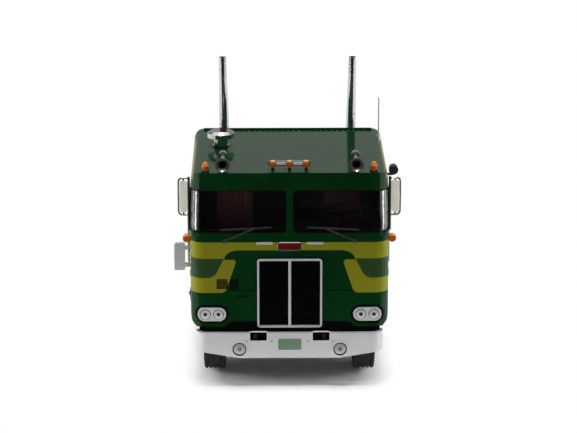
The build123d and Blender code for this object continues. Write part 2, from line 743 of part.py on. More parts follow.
def build_mirrors():
    """Tall mirrors, each pinned in a tubular frame on an upright beside the cab."""
    tube_x = CAB_SIDE + MIRROR_TUBE
    face = (tube_x + MIRROR_TUBE + MIRROR_GAP, MIRROR_REACH - 2 * MIRROR_WIRE - MIRROR_GAP)
    back = (MIRROR_BACK, MIRROR_BACK + MIRROR_DEPTH)
    middle = MIRROR_BACK + MIRROR_DEPTH / 2
    head_z = (MIRROR_LOW + MIRROR_PIN_LENGTH, MIRROR_HIGH - MIRROR_PIN_LENGTH)
    head = block(face, back, head_z)
    mirror_set = fillet(head.edges().filter_by(Axis.Y), MIRROR_EDGE)
    mirror_set += rod_z(MIRROR_PIN, (face[0] + face[1]) / 2, middle, (MIRROR_LOW, MIRROR_HIGH))
    mirror_set += rod_z(MIRROR_TUBE, tube_x, middle, (MIRROR_TUBE_LOW, MIRROR_HIGH + MIRROR_WIRE))
    return pair(mirror_set + mirror_frame(tube_x, middle))


def build_lower_mirror():
    """Short mirror on the right side, below the tall one, on a plated frame."""
    side = CAB_WIDTH / 2
    depth = (LOW_MIRROR_BACK, LOW_MIRROR_BACK + MIRROR_DEPTH)
    face = block((-LOW_MIRROR_REACH, -LOW_MIRROR_REACH + LOW_MIRROR_WIDTH), depth, (LOW_MIRROR_LOW, LOW_MIRROR_HIGH))
    face = fillet(face.edges().filter_by(Axis.Y), MIRROR_EDGE)
    inset = LOW_MIRROR_FRAME
    frame = block((-LOW_MIRROR_REACH + LOW_MIRROR_WIDTH, -side), depth, (LOW_MIRROR_LOW + inset, LOW_MIRROR_HIGH - inset))
    window = block((-LOW_MIRROR_REACH + LOW_MIRROR_WIDTH, -side), depth,
                   (LOW_MIRROR_LOW + 2 * inset, LOW_MIRROR_HIGH - 2 * inset))
    return [face + (frame - window)]


def build_spot_lamp():
    """Small lamp on an arm at the left edge of the roof."""
    lamp = rod_y(SPOT_RADIUS, SPOT_X, (SPOT_BACK, SPOT_BACK + SPOT_LENGTH), SPOT_Z)
    place = SPOT_BACK + SPOT_LENGTH / 2
    foot_z = SPOT_Z - SPOT_RADIUS - SPOT_ARM
    arm = block((CAB_WIDTH / 2 - TUMBLE - SPOT_ARM, SPOT_X), (place - SPOT_ARM, place + SPOT_ARM), (foot_z, foot_z + SPOT_ARM))
    post = block((SPOT_X - SPOT_ARM, SPOT_X), (place - SPOT_ARM, place + SPOT_ARM), (foot_z, SPOT_Z))
    return [lamp + arm + post - cab_form(0, BELT_Z - CAB_WALL)]


def build_turn_signals():
    """Amber signal lamps on short stalks beside the windscreen's foot."""
    side = CAB_WIDTH / 2
    x = side + SIGNAL_STEP + SIGNAL_RADIUS / 2
    lamp = rod_y(SIGNAL_RADIUS, x, (SIGNAL_BACK, SIGNAL_BACK + SIGNAL_LENGTH), SIGNAL_Z)
    lamp = fillet(lamp.edges().filter_by(GeomType.CIRCLE), SIGNAL_ROUND)
    stalk = rod_x(SIGNAL_STALK, (side, x), SIGNAL_BACK + SIGNAL_LENGTH / 2, SIGNAL_Z)
    lamp -= block((0, side), (0, LENGTH), (0, ROOF_Z))
    return pair(lamp + stalk)


def wiper_bar(start, end, back):
    """Flat bar from one (x, z) place to another across the windscreen."""
    run, rise = end[0] - start[0], end[1] - start[1]
    length = (run**2 + rise**2) ** 0.5
    middle = ((start[0] + end[0]) / 2, (start[1] + end[1]) / 2)
    outline = Pos(*middle) * Rot(0, 0, degrees(atan2(rise, run))) * Rectangle(length, WIPER_WIDTH)
    return front_plate(outline, back)


def build_wipers():
    """Two wipers, each a pivot boss, an arm and a blade."""
    blade = (CAB_FRONT - WIPER_THICKNESS, CAB_FRONT)
    arm = (CAB_FRONT - 2 * WIPER_THICKNESS, CAB_FRONT - WIPER_THICKNESS)
    wiper = rod_y(WIPER_BOSS, WIPER_PIVOT[0], (arm[0], CAB_FRONT), WIPER_PIVOT[1])
    wiper += wiper_bar(WIPER_PIVOT, WIPER_ELBOW, arm)
    wiper += wiper_bar(*WIPER_TIPS, blade)
    return pair(wiper)


def build_grab_rails():
    """Plated grab rails on the cab's sides, just behind the doors."""
    x = CAB_WIDTH / 2 + RAIL_STANDOFF
    rail = rod_z(RAIL_RADIUS, x, RAIL_BACK, (RAIL_LOW, RAIL_HIGH))
    for z in (RAIL_LOW + RAIL_FOOT_INSET, RAIL_HIGH - RAIL_FOOT_INSET):
        rail += rod_x(RAIL_FOOT, (CAB_WIDTH / 2, x), RAIL_BACK, z)
    return pair(rail)


def frame_rail():
    """One channel-section rail with its dropped front horn."""
    tail = LENGTH - FRAME_TAIL
    web = side_plate(
        ((BUMPER_WALL, HORN_LOW), (HORN_REAR, HORN_LOW), (HORN_REAR, FRAME_LOW), (tail, FRAME_LOW),
         (tail, FRAME_HIGH), (HORN_REAR, FRAME_HIGH), (HORN_REAR - FRAME_FLANGE, HORN_HIGH),
         (BUMPER_WALL, HORN_HIGH)), (FRAME_HALF - FRAME_WEB, FRAME_HALF))
    for low in (FRAME_LOW, FRAME_HIGH - FRAME_WEB):
        web += block((FRAME_HALF - FRAME_FLANGE, FRAME_HALF), (HORN_REAR, tail), (low, low + FRAME_WEB))
    return web


def build_cross_members():
    """Cross members between the rails, two with screw bosses, and the two cab mounts on top."""
    half = FRAME_HALF - FRAME_WEB
    low, high = FRAME_LOW + FRAME_WEB, FRAME_HIGH - FRAME_WEB
    members = []
    for place in MEMBERS:
        back = (place - MEMBER_DEPTH / 2, place + MEMBER_DEPTH / 2)
        member = block((-half, half), back, (low, high))
        if place in SCREW_PLACES:
            member += rod_z(SCREW_BOSS, SCREW_X, place, (low, high))
            member -= rod_z(SCREW_RADIUS, SCREW_X, place, (0, low + SCREW_LENGTH))
        members.append(member)
    for place in CAB_MOUNTS:
        back = (place - CAB_MOUNT_DEPTH / 2, place + CAB_MOUNT_DEPTH / 2)
        members.append(block((-FRAME_HALF, FRAME_HALF), back, (FRAME_HIGH, FLOOR_Z)))
    return members


def build_engine_block():
    """Engine and gearbox under the cab, held between the rails."""
    top = (ENGINE_LOW, ENGINE_HIGH)
    engine = block((-ENGINE_HALF, ENGINE_HALF), (ENGINE_FRONT, ENGINE_REAR), top)
    engine += block((-SUMP_HALF, SUMP_HALF), (SUMP_FRONT, ENGINE_REAR), (SUMP_LOW, ENGINE_LOW))
    engine += block((-GEARBOX_HALF, GEARBOX_HALF), (ENGINE_REAR, GEARBOX_REAR), (GEARBOX_LOW, FRAME_HIGH))
    reach = FRAME_HALF - FRAME_WEB
    for place in (ENGINE_FRONT, ENGINE_REAR - MEMBER_DEPTH):
        engine += block((-reach, reach), (place, place + MEMBER_DEPTH), (FRAME_LOW + FRAME_WEB, FRAME_HIGH - FRAME_WEB))
    return [engine]


def shaft(front, rear):
    """Propeller shaft with a joint at each end."""
    bar = rod_y(SHAFT_RADIUS, 0, (front, rear), SHAFT_Z)
    for back in ((front, front + JOINT_LENGTH), (rear - JOINT_LENGTH, rear)):
        bar += rod_y(JOINT_RADIUS, 0, back, SHAFT_Z)
    return bar


def build_drive_shafts():
    """Shafts from the gearbox to the first drive axle and on to the second."""
    first, second = DRIVE_AXLES
    return [shaft(GEARBOX_REAR, first - PINION_LENGTH), shaft(first + PINION_LENGTH, second - PINION_LENGTH)]


def build_front_axle_beam():
    """Front axle beam, bored for the axle pin."""
    half = FRONT_TYRE_OUTER - FRONT_TYRE_WIDTH - 2 * SIDE_PLAY
    back = (FRONT_OVERHANG - BEAM_DEPTH / 2, FRONT_OVERHANG + BEAM_DEPTH / 2)
    beam = block((-half, half), back, (BEAM_LOW, BEAM_HIGH))
    return [beam - rod_x(PIN_RADIUS + BEARING_GAP, (-half, half), FRONT_OVERHANG, AXLE_Z)]


def leaf_spring(middle, half_span, seat_z):
    """Pack of stepped leaves between an axle seat and a rail, with an eye at each end of the longest."""
    outer = FRAME_HALF - (FRAME_FLANGE - SPRING_WIDTH) / 2
    x = (outer - SPRING_WIDTH, outer)
    leaf = (FRAME_LOW - seat_z) / SPRING_LEAVES
    spring = rod_x(SPRING_EYE, x, middle - half_span, FRAME_LOW - SPRING_EYE)
    spring += rod_x(SPRING_EYE, x, middle + half_span, FRAME_LOW - SPRING_EYE)
    for index in range(SPRING_LEAVES):
        reach = half_span - index * SPRING_STEP
        top = FRAME_LOW - index * leaf
        spring += block(x, (middle - reach, middle + reach), (top - leaf, top))
    return spring


def build_front_springs():
    """Front leaf springs between the rails and the axle beam."""
    return pair(leaf_spring(FRONT_OVERHANG, SPRING_HALF_SPAN, BEAM_HIGH))


def build_drive_axle_housings():
    """Drive axle housings with their banjo and pinion noses, bored for the axle pins."""
    half = DRIVE_TYRE_OUTER - 2 * DRIVE_TYRE_WIDTH - TWIN_GAP - 2 * SIDE_PLAY
    housings = []
    for place in DRIVE_AXLES:
        banjo = ((-BANJO_HALF, 0), (-BANJO_HALF, HOUSING_RADIUS), (-BANJO_HALF / 2, BANJO_RADIUS),
                 (BANJO_HALF / 2, BANJO_RADIUS), (BANJO_HALF, HOUSING_RADIUS), (BANJO_HALF, 0))
        housing = turned_x(banjo, 0, place, AXLE_Z) + rod_x(HOUSING_RADIUS, (-half, half), place, AXLE_Z)
        rear = place + PINION_LENGTH if place == DRIVE_AXLES[0] else place
        housing += rod_y(JOINT_RADIUS, 0, (place - PINION_LENGTH, rear), SHAFT_Z)
        housing -= rod_x(PIN_RADIUS + BEARING_GAP, (-half, half), place, AXLE_Z)
        housings.append(housing)
    return housings


def build_rear_springs():
    """Rear leaf springs over each drive axle."""
    seat = AXLE_Z + HOUSING_RADIUS
    springs = []
    for place in DRIVE_AXLES:
        springs += pair(leaf_spring(place, REAR_LEAF_HALF_SPAN, seat))
    return springs


def fuel_tank():
    """Round fuel tank on the left side, its end edges rolled, with a filler cap."""
    tank = rod_y(TANK_RADIUS, TANK_X, (TANK_FRONT, TANK_REAR), TANK_Z)
    tank = fillet(tank.edges().filter_by(GeomType.CIRCLE), TANK_EDGE)
    return tank + rod_z(FILLER_RADIUS, TANK_X, FILLER_BACK, (TANK_Z, TANK_Z + TANK_RADIUS + FILLER_HEIGHT))


def build_tank_brackets():
    """Straps round the fuel tanks, each with an arm to the rail."""
    brackets = []
    bore = TANK_RADIUS + FIT
    for place in STRAP_PLACES:
        back = (place - STRAP_WIDTH / 2, place + STRAP_WIDTH / 2)
        strap = rod_y(bore + STRAP_THICKNESS, TANK_X, back, TANK_Z)
        strap += block((FRAME_HALF, TANK_X - TANK_RADIUS / 2), back, (BRACKET_LOW, BRACKET_HIGH))
        brackets += pair(strap - rod_y(bore, TANK_X, back, TANK_Z))
    return brackets


def build_air_tanks():
    """Air tanks between the rails, hung from a cross member's line."""
    x = FRAME_HALF - FRAME_FLANGE - AIR_TANK_RADIUS
    return pair(rod_y(AIR_TANK_RADIUS, x, (AIR_TANK_BACK - AIR_TANK_LENGTH / 2, AIR_TANK_BACK + AIR_TANK_LENGTH / 2),
                      FRAME_HIGH - FRAME_WEB - AIR_TANK_RADIUS))


def exhaust_stack():
    """Upright muffler on the left side with its tall pipe, which leans out and tapers a little."""
    shelf = FRAME_HIGH + STACK_SHELF
    profile = ((0, shelf), (MUFFLER_RADIUS, shelf), (MUFFLER_RADIUS, MUFFLER_HIGH - MUFFLER_SHOULDER),
               (STACK_RADIUS, MUFFLER_HIGH), (0, MUFFLER_HIGH))
    stack = turned_z(profile, STACK_X, STACK_BACK, 0)
    mouth = STACK_X + STACK_LEAN
    low = Pos(STACK_X, at(STACK_BACK), MUFFLER_HIGH) * Circle(STACK_RADIUS)
    high = Pos(mouth, at(STACK_BACK), STACK_TOP) * Circle(STACK_TIP)
    stack += loft([low, high], ruled=True)
    bore = STACK_TIP - STACK_WALL
    return stack - rod_z(bore, mouth, STACK_BACK, (STACK_TOP - STACK_BORE_DEPTH, STACK_TOP))


def build_exhaust_shelf():
    """Shelf across the rails that carries both mufflers."""
    back = (STACK_BACK - STACK_SHELF_DEPTH / 2, STACK_BACK + STACK_SHELF_DEPTH / 2)
    reach = STACK_SHELF_REACH
    return [block((-reach, reach), back, (FRAME_HIGH, FRAME_HIGH + STACK_SHELF))]


def build_deck_plate():
    """Walkway plate on the rails behind the cab."""
    return [block((-FRAME_HALF, FRAME_HALF), (DECK_FRONT, DECK_REAR), (FRAME_HIGH, FRAME_HIGH + DECK_THICKNESS))]


def build_fifth_wheel():
    """Coupling plate with its kingpin bore, the throat that opens to the rear and the ramps beside it."""
    low = FRAME_HIGH + FIFTH_BASE_HEIGHT
    plate = RectangleRounded(2 * FIFTH_HALF_WIDTH, 2 * FIFTH_HALF_LENGTH, FIFTH_CORNER)
    rear = FIFTH_HALF_LENGTH
    throat = Polygon((-THROAT / 2, 0), (THROAT / 2, 0), (THROAT / 2, rear / 3), (THROAT_MOUTH / 2, rear),
                     (-THROAT_MOUTH / 2, rear), (-THROAT / 2, rear / 3), align=None)
    outline = plate - Circle(KINGPIN_RADIUS) - throat
    coupling = extrude(Pos(0, at(FIFTH_BACK), low) * outline, FIFTH_THICKNESS)
    end, top = FIFTH_BACK + FIFTH_HALF_LENGTH, low + FIFTH_THICKNESS
    ramp = ((end - RAMP_LENGTH, top), (end, top), (end, top - RAMP_DROP))
    return [coupling - side_plate(ramp, (-FIFTH_HALF_WIDTH, FIFTH_HALF_WIDTH))]


def build_fifth_wheel_base():
    """Two side brackets that carry the coupling plate on the rails."""
    back = (FIFTH_BACK - FIFTH_BASE_HALF, FIFTH_BACK + FIFTH_BASE_HALF)
    return pair(block((FRAME_HALF - FRAME_FLANGE, FRAME_HALF), back, (FRAME_HIGH, FRAME_HIGH + FIFTH_BASE_HEIGHT)))


def build_mud_flaps():
    """Mud flaps behind the last wheels, each on a bar from its rail."""
    flap = block((FLAP_INNER, DRIVE_TYRE_OUTER), (FLAP_BACK, FLAP_BACK + FLAP_THICKNESS), (FLAP_LOW, FLAP_HIGH))
    bar = rod_x(HANGER_RADIUS, (FRAME_HALF, DRIVE_TYRE_OUTER), FLAP_BACK + FLAP_THICKNESS / 2, FLAP_HIGH)
    return pair(flap + bar)


def build_tail_member():
    """Closing member across the rails' tails."""
    half = FRAME_HALF - FRAME_WEB
    tail = LENGTH - FRAME_TAIL
    return [block((-half, half), (tail - MEMBER_DEPTH, tail), (FRAME_LOW + FRAME_WEB, FRAME_HIGH - FRAME_WEB))]


def build_tail_lamps():
    """Round tail lamps on the closing member, as proud of the tail as the bumper's lamps are of its face."""
    z = (FRAME_LOW + FRAME_HIGH) / 2
    return pair(rod_y(TAIL_LAMP_RADIUS, TAIL_LAMP_X, (LENGTH - FRAME_TAIL, LENGTH + FOG_PROUD), z))


def tyre(inner, outer, place):
    """Tyre between two X on the left side, square shouldered with a chamfer."""
    bead = RIM_RADIUS + PRESS_GAP
    shoulder = TYRE_RADIUS - TYRE_SHOULDER
    chamfer = TYRE_SHOULDER / 2
    profile = ((inner + chamfer, bead), (outer - chamfer, bead), (outer, bead + TYRE_SHOULDER), (outer, shoulder),
               (outer - chamfer, TYRE_RADIUS), (inner + chamfer, TYRE_RADIUS), (inner, shoulder),
               (inner, bead + TYRE_SHOULDER))
    return turned_x(profile, 0, place, AXLE_Z)


def hand_holes(x, place):
    """Ring of round holes through a wheel's disc between two X."""
    hole = Pos((x[0] + x[1]) / 2, 0, HAND_CIRCLE) * Rot(0, 90, 0) * Cylinder(HAND_HOLE, x[1] - x[0])
    hub = Pos(0, at(place), AXLE_Z)
    return [hub * Rot(index * 360 / HAND_HOLES, 0, 0) * hole for index in range(HAND_HOLES)]


def front_rim():
    """Front wheel of the left side: a barrel with a bulged disc and a hub."""
    outer = FRONT_TYRE_OUTER
    inner = outer - FRONT_TYRE_WIDTH
    hole = PIN_RADIUS + PRESS_GAP
    lip = RIM_RADIUS - RIM_WALL
    face = outer - RIM_WALL
    pin_end = outer + FRONT_HUB_PROUD - PIN_COVER
    profile = ((inner - SIDE_PLAY, hole), (inner - SIDE_PLAY, HUB_RADIUS), (face - DISC_THICKNESS, HUB_RADIUS),
               (face - 2 * DISC_THICKNESS, lip), (inner, lip), (inner, RIM_RADIUS), (outer, RIM_RADIUS),
               (outer, lip), (face - DISC_THICKNESS, lip), (face, HUB_RADIUS), (outer + FRONT_HUB_PROUD, HUB_RADIUS / 2),
               (outer + FRONT_HUB_PROUD, 0), (pin_end, 0), (pin_end, hole))
    rim = turned_x(profile, 0, FRONT_OVERHANG, AXLE_Z)
    for hole in hand_holes((face - 3 * DISC_THICKNESS, outer), FRONT_OVERHANG):
        rim -= hole
    return rim


def drive_rim(place):
    """Twin wheel of the left side: a long barrel with a deep dished disc and its hub."""
    outer = DRIVE_TYRE_OUTER
    inner = outer - 2 * DRIVE_TYRE_WIDTH - TWIN_GAP
    hole = PIN_RADIUS + PRESS_GAP
    lip = RIM_RADIUS - RIM_WALL
    disc = outer - DRIVE_DISH
    hub = disc + DRIVE_HUB_LENGTH
    profile = ((inner - SIDE_PLAY, hole), (inner - SIDE_PLAY, HUB_RADIUS), (disc - DISC_THICKNESS, HUB_RADIUS),
               (disc - DISC_THICKNESS, lip), (inner, lip), (inner, RIM_RADIUS), (outer, RIM_RADIUS), (outer, lip),
               (disc, lip), (disc, HUB_RADIUS), (hub, HUB_RADIUS), (hub, 0), (hub - PIN_COVER, 0),
               (hub - PIN_COVER, hole))
    rim = turned_x(profile, 0, place, AXLE_Z)
    for opening in hand_holes((disc - 2 * DISC_THICKNESS, outer), place):
        rim -= opening
    return rim


def front_wheelset():
    """Pin, wheels and tyres of the front axle."""
    pin_end = FRONT_TYRE_OUTER + FRONT_HUB_PROUD - PIN_COVER - PRESS_GAP
    return {
        "front_axle_pin": [rod_x(PIN_RADIUS, (-pin_end, pin_end), FRONT_OVERHANG, AXLE_Z)],
        "front_wheels": pair(front_rim()),
        "front_tyres": pair(tyre(FRONT_TYRE_OUTER - FRONT_TYRE_WIDTH, FRONT_TYRE_OUTER, FRONT_OVERHANG)),
    }


def drive_wheelset(name, place):
    """Pin, twin wheels and tyres of one drive axle."""
    pin_end = DRIVE_TYRE_OUTER - DRIVE_DISH + DRIVE_HUB_LENGTH - PIN_COVER - PRESS_GAP
    split = DRIVE_TYRE_OUTER - DRIVE_TYRE_WIDTH
    inner = split - TWIN_GAP - DRIVE_TYRE_WIDTH
    tyres = pair(tyre(split, DRIVE_TYRE_OUTER, place)) + pair(tyre(inner, split - TWIN_GAP, place))
    return {
        name + "_axle_pin": [rod_x(PIN_RADIUS, (-pin_end, pin_end), place, AXLE_Z)],
        name + "_wheels": pair(drive_rim(place)),
        name + "_tyres": tyres,
    }


def build_model():
    """All nodes of the model, each a list of its solids."""
    nodes = {
        "cab_shell": build_cab_shell(),
        "cab_glazing": build_cab_glazing(),
        "cab_floor": build_cab_floor(),
        "dashboard": build_dashboard(),
        "seats": build_seats(),
        "steering_wheel": build_steering_wheel(),
        "grille_frame": build_grille_frame(),
        "grille_louvres": build_grille_louvres(),
        "front_bumper": build_front_bumper(),
        "bumper_lamps": build_bumper_lamps(),
        "headlamp_bezels": build_headlamp_bezels(),
        "headlamp_lenses": build_headlamp_lenses(),
        "marker_lamps": build_marker_lamps(),
        "marker_bar": build_marker_bar(),
        "air_horns": build_air_horns(),
        "roof_intake": build_roof_intake(),
        "aerial": build_aerial(),
        "mirrors": build_mirrors(),
        "lower_mirror": build_lower_mirror(),
        "spot_lamp": build_spot_lamp(),
        "turn_signals": build_turn_signals(),
        "wipers": build_wipers(),
        "grab_rails": build_grab_rails(),
        "frame_rail_left": [frame_rail()],
        "frame_rail_right": [other_side(frame_rail())],
        "cross_members": build_cross_members(),
        "tail_member": build_tail_member(),
        "engine_block": build_engine_block(),
        "drive_shafts": build_drive_shafts(),
        "front_axle_beam": build_front_axle_beam(),
        "front_springs": build_front_springs(),
        "drive_axle_housings": build_drive_axle_housings(),
        "rear_springs": build_rear_springs(),
        "fuel_tank_left": [fuel_tank()],
        "fuel_tank_right": [other_side(fuel_tank())],
        "tank_brackets": build_tank_brackets(),
        "air_tanks": build_air_tanks(),
        "exhaust_left": [exhaust_stack()],
        "exhaust_right": [other_side(exhaust_stack())],
        "exhaust_shelf": build_exhaust_shelf(),
        "deck_plate": build_deck_plate(),
        "fifth_wheel": build_fifth_wheel(),
        "fifth_wheel_base": build_fifth_wheel_base(),
        "mud_flaps": build_mud_flaps(),
        "tail_lamps": build_tail_lamps(),
    }
    nodes.update(front_wheelset())
    for name, place in zip(("first_drive", "second_drive"), DRIVE_AXLES):
        nodes.update(drive_wheelset(name, place))
    return nodes


os.makedirs("parts", exist_ok=True)
for node, solids in build_model().items():
    shape = solids[0] if len(solids) == 1 else Compound(solids)
    export_step(shape, f"parts/{node}.step")
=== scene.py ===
"""Looks of a die-cast model of a cab-over sleeper tractor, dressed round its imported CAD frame."""

import json
import logging
import math
from dataclasses import dataclass, field
from enum import Enum

import bmesh
import bpy
from mathutils import Matrix, Vector
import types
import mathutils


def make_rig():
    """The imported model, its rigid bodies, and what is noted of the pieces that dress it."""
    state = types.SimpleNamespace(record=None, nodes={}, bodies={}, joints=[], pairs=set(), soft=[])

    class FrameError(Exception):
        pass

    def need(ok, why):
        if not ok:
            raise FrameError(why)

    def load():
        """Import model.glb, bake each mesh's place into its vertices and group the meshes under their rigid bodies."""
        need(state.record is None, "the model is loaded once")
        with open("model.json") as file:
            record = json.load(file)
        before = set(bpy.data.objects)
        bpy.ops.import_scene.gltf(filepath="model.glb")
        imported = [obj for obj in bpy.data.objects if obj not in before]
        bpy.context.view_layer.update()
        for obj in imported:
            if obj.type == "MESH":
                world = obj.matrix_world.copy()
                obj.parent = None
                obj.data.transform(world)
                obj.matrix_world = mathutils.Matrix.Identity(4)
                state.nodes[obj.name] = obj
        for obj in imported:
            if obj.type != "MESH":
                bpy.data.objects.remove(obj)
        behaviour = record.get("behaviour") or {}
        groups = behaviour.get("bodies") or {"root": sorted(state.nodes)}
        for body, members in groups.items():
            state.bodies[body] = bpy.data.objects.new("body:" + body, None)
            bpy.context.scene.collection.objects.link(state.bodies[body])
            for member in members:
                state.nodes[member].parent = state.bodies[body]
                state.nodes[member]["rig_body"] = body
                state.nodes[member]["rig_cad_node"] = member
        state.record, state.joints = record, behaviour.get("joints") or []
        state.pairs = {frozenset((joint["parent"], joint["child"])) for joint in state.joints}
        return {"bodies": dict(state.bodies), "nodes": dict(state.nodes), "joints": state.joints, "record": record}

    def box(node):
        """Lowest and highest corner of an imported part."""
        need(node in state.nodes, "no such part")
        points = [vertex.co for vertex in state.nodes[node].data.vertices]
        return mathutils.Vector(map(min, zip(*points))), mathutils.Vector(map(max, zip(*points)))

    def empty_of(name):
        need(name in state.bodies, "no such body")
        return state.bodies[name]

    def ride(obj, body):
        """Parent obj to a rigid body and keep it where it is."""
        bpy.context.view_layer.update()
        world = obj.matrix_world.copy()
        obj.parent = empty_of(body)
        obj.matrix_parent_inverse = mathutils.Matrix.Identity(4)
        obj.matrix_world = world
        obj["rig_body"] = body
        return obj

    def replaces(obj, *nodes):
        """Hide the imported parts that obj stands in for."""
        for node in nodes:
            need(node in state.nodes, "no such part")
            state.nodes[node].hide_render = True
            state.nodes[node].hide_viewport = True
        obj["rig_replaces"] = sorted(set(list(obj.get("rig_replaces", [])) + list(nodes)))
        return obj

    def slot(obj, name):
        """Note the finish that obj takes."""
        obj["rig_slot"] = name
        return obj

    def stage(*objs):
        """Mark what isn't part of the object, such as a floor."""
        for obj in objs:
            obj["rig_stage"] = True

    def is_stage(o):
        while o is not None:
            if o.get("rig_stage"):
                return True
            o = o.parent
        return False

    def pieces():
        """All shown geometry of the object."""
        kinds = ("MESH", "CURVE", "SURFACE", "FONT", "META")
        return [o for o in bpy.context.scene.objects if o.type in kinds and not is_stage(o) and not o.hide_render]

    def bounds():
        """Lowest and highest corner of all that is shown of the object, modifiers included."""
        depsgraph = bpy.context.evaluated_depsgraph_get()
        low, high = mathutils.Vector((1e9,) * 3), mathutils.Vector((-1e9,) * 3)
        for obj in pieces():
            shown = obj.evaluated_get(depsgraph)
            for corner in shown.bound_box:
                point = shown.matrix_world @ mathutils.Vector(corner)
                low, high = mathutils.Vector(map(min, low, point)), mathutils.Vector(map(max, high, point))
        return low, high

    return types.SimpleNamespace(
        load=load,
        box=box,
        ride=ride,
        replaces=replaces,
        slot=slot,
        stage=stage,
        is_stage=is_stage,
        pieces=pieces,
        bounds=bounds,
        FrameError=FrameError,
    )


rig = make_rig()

LOG = logging.getLogger("tractor")
MM = 0.001
WHITE = (1.0, 1.0, 1.0, 1.0)
SUNK = 0.1  # millimetres that a small piece reaches into what carries it
Colour = tuple[float, float, float]
Point = tuple[float, float, float]
Span = tuple[float, float]
Ring = list[bmesh.types.BMVert]


class Axis(Enum):
    """Axis that a turned form stands on, by its number."""

    X = 0
    Y = 1
    Z = 2

    def frame(self) -> list[Vector]:
        """Two directions across the axis, then the axis itself."""
        return [Vector(Matrix.Identity(3)[(self.value + step) % 3]) for step in (1, 2, 3)]


class Side(Enum):
    """Side of the truck, as the sign of its X."""

    RIGHT = -1
    LEFT = 1

    def span(self, inner: float, outer: float) -> Span:
        """Lowest and highest X between two distances from the centre line."""
        return tuple(sorted((self.value * inner, self.value * outer)))


class Body(Enum):
    """CAD bodies that pieces ride on."""

    TRUCK = "truck"
    FRONT = "front_wheelset"
    FIRST_DRIVE = "first_drive_wheelset"
    SECOND_DRIVE = "second_drive_wheelset"


def mm(x: float, y: float, z: float) -> Vector:
    """Point written in millimetres."""
    return Vector((x, y, z)) * MM


def placed(name: str, data: bpy.types.ID) -> bpy.types.Object:
    """Put a mesh, lamp or camera into the scene.

    Args:
        name: name of the object.
        data: what the object shows.

    Returns:
        The new object.
    """
    made = bpy.data.objects.new(name, data)
    bpy.context.scene.collection.objects.link(made)
    return made


def rounded(across: Span, rise: Span, corner: float, facets: int = 4) -> list[Span]:
    """Closed outline of a rectangle with rounded corners.

    Args:
        across: first and last place across.
        rise: lowest and highest place.
        corner: radius of the corners.
        facets: straight pieces of each corner.

    Returns:
        The corners of the outline, across and up.
    """
    left, right = across[0] + corner, across[1] - corner
    low, high = rise[0] + corner, rise[1] - corner
    line: list[Span] = []
    for quarter, (x, z) in enumerate(((right, high), (left, high), (left, low), (right, low))):
        for i in range(facets + 1):
            turn = (quarter + i / facets) * math.pi / 2
            line.append((x + corner * math.cos(turn), z + corner * math.sin(turn)))
    return line


class Sig:
    """Shader socket whose arithmetic adds Math nodes."""

    def __init__(self, graph: "Graph", socket: bpy.types.NodeSocket | None) -> None:
        """Keep the graph and the socket."""
        self.graph = graph
        self.socket = socket

    def __add__(self, other: "Value") -> "Sig":
        """Sum."""
        return self.graph.math("ADD", self, other)

    def __sub__(self, other: "Value") -> "Sig":
        """Difference."""
        return self.graph.math("SUBTRACT", self, other)

    def __rsub__(self, other: "Value") -> "Sig":
        """Difference from a number."""
        return self.graph.math("SUBTRACT", other, self)

    def __mul__(self, other: "Value") -> "Sig":
        """Product."""
        return self.graph.math("MULTIPLY", self, other)

    def __truediv__(self, other: "Value") -> "Sig":
        """Quotient."""
        return self.graph.math("DIVIDE", self, other)

    def __rtruediv__(self, other: "Value") -> "Sig":
        """Quotient of a number."""
        return self.graph.math("DIVIDE", other, self)

    def __pow__(self, other: "Value") -> "Sig":
        """Power."""
        return self.graph.math("POWER", self, other)

    def __rpow__(self, other: "Value") -> "Sig":
        """Power of a number."""
        return self.graph.math("POWER", other, self)

    def __abs__(self) -> "Sig":
        """Size without sign."""
        return self.graph.math("ABSOLUTE", self)

    __radd__ = __add__
    __rmul__ = __mul__

    def least(self, other: "Value") -> "Sig":
        """Smaller of two values."""
        return self.graph.math("MINIMUM", self, other)

    def most(self, other: "Value") -> "Sig":
        """Larger of two values."""
        return self.graph.math("MAXIMUM", self, other)

    def above(self, edge: "Value", soft: float) -> "Sig":
        """Mask that is 1 above an edge, with a change as wide as soft."""
        return self.graph.math("ADD", (self - edge) / soft, 0.5, clamp=True)

    def below(self, edge: "Value", soft: float) -> "Sig":
        """Mask that is 1 below an edge, with a change as wide as soft."""
        return 1 - self.above(edge, soft)

    def between(self, span: Span, soft: float) -> "Sig":
        """Mask that is 1 between two edges, with changes as wide as soft."""
        return self.above(span[0], soft) * self.below(span[1], soft)

    def wave(self, pitch: float) -> "Sig":
        """Sine wave of a pitch, from -1 to 1."""
        return self.graph.math("SINE", self * (math.tau / pitch))

    def meet(self, other: "Sig", corner: float) -> "Sig":
        """Distance outside two edges that meet in a rounded corner.

        Args:
            other: distance outside the second edge.
            corner: radius of the corner.

        Returns:
            The distance, below 0 inside both edges.
        """
        a, b = self + corner, other + corner
        far = (a.most(0.0) ** 2 + b.most(0.0) ** 2) ** 0.5
        return a.most(b).least(0.0) + far - corner


Value = Sig | int | float


